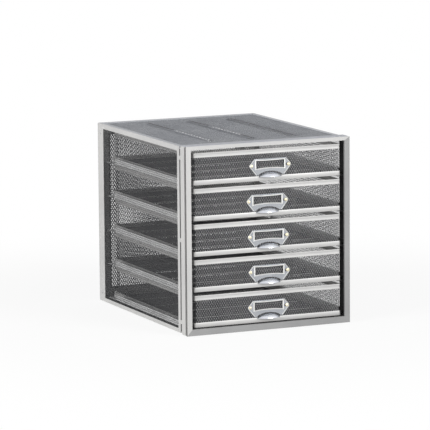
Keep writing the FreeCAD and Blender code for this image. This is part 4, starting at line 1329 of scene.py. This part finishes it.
@dataclass
class Drawer:
    """One drawer: nets for its walls, front, floor and backing, folded hems, floor ridges and a label pull.

    The rivets are the CAD's own.
    """

    shop: Workshop
    nets: NetMaker
    front_nets: NetMaker
    floor_nets: NetMaker
    number: int
    wall: float = 0.6 * MM
    corner: float = 1.8 * MM
    floor_shares: tuple[float, ...] = (0.2, 0.4, 0.6, 0.8)
    floor_rib_half_width: float = 3.0 * MM
    floor_rib_margin: float = 14.0 * MM
    floor_rib_rise: float = 1.6 * MM
    ridge_section: Pair = mm(0.8, 0.5)
    hem_corner: float = 2.6 * MM
    rim_thickness: float = 2.2 * MM
    rim_foot: tuple[Pair, ...] = (mm(0.5, 0.0), mm(0.12, 0.25), mm(0.0, 0.9), mm(0.3, 2.0))
    rim_neck: Pair = mm(0.35, 2.2)
    rim_steps: int = 8
    band_foot: tuple[Pair, ...] = (mm(0.9, 0.0), mm(0.27, 0.26), mm(0.0, 0.9))
    band_head: tuple[Pair, ...] = (mm(0.0, 0.5), mm(0.16, 0.12), mm(0.4, 0.0), mm(0.64, 0.12), mm(0.8, 0.4))
    band_flange: tuple[Pair, ...] = (mm(0.8, 0.8), mm(8.0, 0.8), mm(8.0, 0.0))

    @property
    def body(self) -> str:
        """Name of the CAD body."""
        return f"drawer_{self.number}"

    @property
    def tray(self) -> str:
        """Name of the tray's CAD node."""
        return f"{self.body}_tray"

    def build(self) -> None:
        """Lay the nets and mount the hems, the floor ridges and the pull."""
        self._nets()
        self._hems()
        self._floor_ridges()
        self._pull()

    def _nets(self) -> None:
        """Lay the nets of the tray and of the backing."""
        low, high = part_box(self.tray)
        inset = Vector((self.wall / 2, self.wall / 2, 0.0))
        behind_front = Vector((0.0, self.wall, 0.0))
        first, last = low + inset + behind_front, high - inset
        piece = self.nets.tube(f"{self.tray}_wall_net", first, last, self.corner, Slot.DRAWER_MESH)
        self.shop.mount(piece, self.body, Slot.DRAWER_MESH, self.tray)
        first = low + Vector((self.corner, 0.0, 0.0))
        last = Vector((high.x - self.corner, low.y + self.wall, high.z))
        piece = self.front_nets.panel(f"{self.tray}_front_net", first, last, 1, Slot.DRAWER_MESH)
        self.shop.mount(piece, self.body, Slot.DRAWER_MESH, self.tray, LIT_FRONT_NET_FINISH)
        length = high.y - low.y
        ribs = RibPattern(
            axis=BACKWARDS,
            start=low.y + self.floor_shares[0] * length,
            spacing=(self.floor_shares[1] - self.floor_shares[0]) * length,
            last=len(self.floor_shares) - 1.0,
            half_width=self.floor_rib_half_width,
            run=ACROSS,
            low=low.x + self.floor_rib_margin,
            high=high.x - self.floor_rib_margin,
            rise=(0.0, 0.0, self.floor_rib_rise),
        )
        last = Vector((high.x, high.y, low.z + self.wall))
        piece = self.floor_nets.panel(f"{self.tray}_floor_net", low, last, 2, Slot.DRAWER_MESH, ribs)
        self.shop.mount(piece, self.body, Slot.DRAWER_MESH, self.tray)
        backing = f"{self.body}_backing_plate"
        piece = self.floor_nets.panel(f"{backing}_net", *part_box(backing), 1, Slot.BACKING)
        self.shop.mount(piece, self.body, Slot.BACKING, backing)

    def _pull(self) -> None:
        """Replace the label holder by a pressed one with round beads."""
        node = f"{self.body}_label_pull"
        low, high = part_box(node)
        holder = LabelPull((low.x + high.x) / 2, low.z - LabelPull.cup_low, high.y)
        # The cup and the beads take the brighter copies of the plating, as painted highlight.
        for piece, finish in zip(holder.build(node), (None, LIT_CUP_FINISH, LIT_BEAD_FINISH)):
            self.shop.mount(piece, self.body, Slot.PULL, node, finish)

    def _hems(self) -> None:
        """Replace the square-edged rim and base band by folded ones with round edges."""
        for part, profile in (("rim", self._rim_profile), ("base_band", self._band_profile)):
            node = f"{self.body}_{part}"
            low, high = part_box(node)
            sweep = Sweep()
            sweep.hem(low, high, self.hem_corner, profile(high.z - low.z))
            self.shop.mount(sweep.piece(f"{node}_hem"), self.body, Slot.STRIP, node)

    def _rim_profile(self, tall: float) -> list[Pair]:
        """Draw the rim's section: a lip turned in at its foot and a rolled crown.

        Args:
            tall: The rim's height.

        Returns:
            Pairs of distance inwards and height.
        """
        half, (inwards, drop) = self.rim_thickness / 2, self.rim_neck
        crown = arc_points((half, tall - half), half, 180.0, 0.0, self.rim_steps)
        return [*self.rim_foot, (inwards, tall - drop), *crown, (self.rim_thickness, 0.0)]

    def _band_profile(self, tall: float) -> list[Pair]:
        """Draw the base band's section: a round foot and head, and a flange that carries the floor.

        Args:
            tall: The band's height.

        Returns:
            Pairs of distance inwards and height.
        """
        head = [(inwards, tall - drop) for inwards, drop in self.band_head]
        return [*self.band_foot, *head, *self.band_flange]

    def _floor_ridges(self) -> None:
        """Press four solid ridges across the tray's floor."""
        sweep = Sweep()
        low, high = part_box(self.tray)
        level = low.z + self.wall + self.floor_rib_rise
        for share in self.floor_shares:
            deep = low.y + share * (high.y - low.y)
            start = Vector((low.x + self.floor_rib_margin, deep, level))
            end = Vector((high.x - self.floor_rib_margin, deep, level))
            sweep.ridge(start, end, *self.ridge_section)
        self.shop.mount(sweep.piece(f"{self.tray}_ridges"), self.body, Slot.STRIP, self.tray)


@dataclass(frozen=True)
class Viewpoint:
    """The photograph's camera: a long lens, above and to the left of the front.

    Attributes:
        place: The lens's place in the row frame, in metres.
        yaw: Turn to the right of straight back, in degrees.
        pitch: Tilt up from level, in degrees.
        roll: Turn about the view axis, in degrees.
        focal_pixels: Focal length in pixels of the photograph's frame.
        frame_pixels: Width of that frame.
        sensor: Width of the sensor, in millimetres.
        clip: Nearest and farthest distance that is seen, in metres.
    """

    place: Triple = (-2.1333, -4.77071, 0.94438)
    yaw: float = 23.968
    pitch: float = -8.603
    roll: float = -0.465
    focal_pixels: float = 3380.03
    frame_pixels: float = 430.0
    sensor: float = 36.0
    clip: Pair = (0.1, 60.0)

    def build(self) -> None:
        """Make the camera the scene's own."""
        yaw, pitch, roll = (math.radians(angle) for angle in (self.yaw, self.pitch, self.roll))
        ahead = Vector((math.sin(yaw) * math.cos(pitch), math.cos(yaw) * math.cos(pitch), math.sin(pitch)))
        level = Vector((math.cos(yaw), -math.sin(yaw), 0.0))
        upright = level.cross(ahead)
        right = math.cos(roll) * level + math.sin(roll) * upright
        above = -math.sin(roll) * level + math.cos(roll) * upright
        turn = Matrix((right, above, -ahead)).transposed()
        data = bpy.data.cameras.new("photo_view")
        data.sensor_width = self.sensor
        data.lens = self.focal_pixels * self.sensor / self.frame_pixels
        data.clip_start, data.clip_end = self.clip
        camera = link("photo_view", data)
        camera.matrix_world = Matrix.Translation(Vector(self.place)) @ turn.to_4x4()
        bpy.context.scene.camera = camera


@dataclass(frozen=True)
class Lamp:
    """A square soft box, aimed at a point of the object."""

    name: str
    place: Triple
    size: float
    power: float
    aim: Triple = (0.0, 0.0, 0.14)

    def build(self) -> None:
        """Hang the lamp."""
        data = bpy.data.lights.new(self.name, "AREA")
        data.shape = "SQUARE"
        data.size = self.size
        data.energy = self.power
        lamp = link(self.name, data)
        lamp.location = self.place
        heading = Vector(self.aim) - Vector(self.place)
        lamp.rotation_euler = heading.to_track_quat("-Z", "Y").to_euler()


@dataclass(frozen=True)
class Studio:
    """Pale floor, white surround and soft boxes."""

    white: tuple[float, ...] = (1.0, 1.0, 1.0, 1.0)
    floor_size: float = 12.0
    floor_cells: int = 8
    floor_shade: float = 0.86
    floor_grain: float = 0.02
    floor_grain_scale: float = 60.0
    floor_glow: float = 0.88
    fade: Pair = (0.35, 0.9)
    fill: float = 0.4
    lamps: tuple[Lamp, ...] = (
        Lamp("key_right", (1.6, -3.4, 1.5), 1.4, 105.0),
        Lamp("fill_left", (-3.2, -1.0, 0.9), 1.8, 118.0),
    )

    def build(self) -> None:
        """Lay the floor, light the world and hang the lamps.

        The denoiser takes the unfiltered guides, because filtered ones wipe the nets out of the picture.
        """
        self._world()
        self._floor()
        for lamp in self.lamps:
            lamp.build()
        bpy.context.scene.view_settings.view_transform = "Standard"
        bpy.context.scene.cycles.denoising_prefilter = "NONE"

    def _seen(self, write: TreeWriter) -> Socket:
        """Mark the rays that show the background: camera, glossy and transmission rays.

        Args:
            write: Writer of the shader tree.

        Returns:
            1 for those rays and 0 for others.
        """
        path = write.node("ShaderNodeLightPath").outputs
        both = write.math("MAXIMUM", path["Is Camera Ray"], path["Is Glossy Ray"])
        return write.math("MAXIMUM", both, path["Is Transmission Ray"])

    def _world(self) -> None:
        """White where it is seen, and a weaker even fill where it lights."""
        world = bpy.data.worlds.new("studio_world")
        bpy.context.scene.world = world
        write = blank(world)
        strength = write.math("MULTIPLY_ADD", self._seen(write), 1.0 - self.fill, self.fill)
        light = write.out("ShaderNodeBackground", {"Color": self.white, "Strength": strength})
        write.node("ShaderNodeOutputWorld", {"Surface": light})

    def _floor(self) -> None:
        """A pale floor that fades to the white surround away from the object."""
        mesh = bpy.data.meshes.new("studio_floor")
        grid = bmesh.new()
        cells = self.floor_cells
        bmesh.ops.create_grid(grid, x_segments=cells, y_segments=cells, size=self.floor_size / 2)
        grid.to_mesh(mesh)
        grid.free()
        floor = link("studio_floor", mesh)
        paint = bpy.data.materials.new("studio_floor")
        write = blank(paint)
        place = write.node("ShaderNodeTexCoord").outputs["Object"]
        radius = write.node("ShaderNodeVectorMath", {0: place}, operation="LENGTH").outputs["Value"]
        far = write.smooth(radius, *self.fade)
        grain = write.out("ShaderNodeTexNoise", {"Vector": place, "Scale": self.floor_grain_scale})
        shade = write.math("MULTIPLY_ADD", grain, self.floor_grain, self.floor_shade)
        matt = write.out("ShaderNodeBsdfDiffuse", {"Color": shade})
        bright = write.out("ShaderNodeEmission", {"Color": self.white, "Strength": 1.0})
        glow = write.math("MULTIPLY_ADD", far, 1.0 - self.floor_glow, self.floor_glow)
        share = write.math("MULTIPLY", glow, self._seen(write))
        mixed = write.out("ShaderNodeMixShader", {0: share, 1: matt, 2: bright})
        write.node("ShaderNodeOutputMaterial", {"Surface": mixed})
        mesh.materials.append(paint)


def dress_frame(frame: dict, shop: Workshop) -> None:
    """Give every CAD node the finish of its record slot.

    Args:
        shop: The workshop with the finishes.
    """
    slots = {part["node"]: Slot(part["material_slot"]) for part in frame["record"]["subparts"]}
    for name, node in frame["nodes"].items():
        shop.finish(node, slots[name], name)


def main() -> None:
    """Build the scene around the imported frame."""
    logging.basicConfig(level=logging.INFO, format="%(name)s: %(message)s")
    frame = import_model()
    shop = Workshop()
    dress_frame(frame, shop)
    side_nets = NetMaker(shop, ExpandedNet(0.8 * MM, 0.3 * MM))
    dense_nets = NetMaker(shop, ExpandedNet(0.95 * MM, 0.5 * MM))
    back_nets = NetMaker(shop, ExpandedNet(1.25 * MM, 0.4 * MM))
    selvedge_nets = NetMaker(shop, ExpandedNet(1.8 * MM, 0.5 * MM))
    wall_nets = NetMaker(shop, ExpandedNet(0.6 * MM, 0.2 * MM))
    front_nets = NetMaker(shop, ExpandedNet(0.36 * MM, 0.17 * MM, knuckle=0.75 * MM))
    nets = {Wall.LEFT: side_nets, Wall.RIGHT: side_nets, Wall.BACK: back_nets}
    nets |= {Wall.TOP: dense_nets, Wall.BOTTOM: dense_nets}
    Case(shop, nets, selvedge_nets).build()
    for side in SIDES:
        for number in DRAWERS:
            Runner(shop, side, number).build()
    for number in DRAWERS:
        Drawer(shop, wall_nets, front_nets, dense_nets, number).build()
    Viewpoint().build()
    Studio().build()


if __name__ == "__main__":
    main()
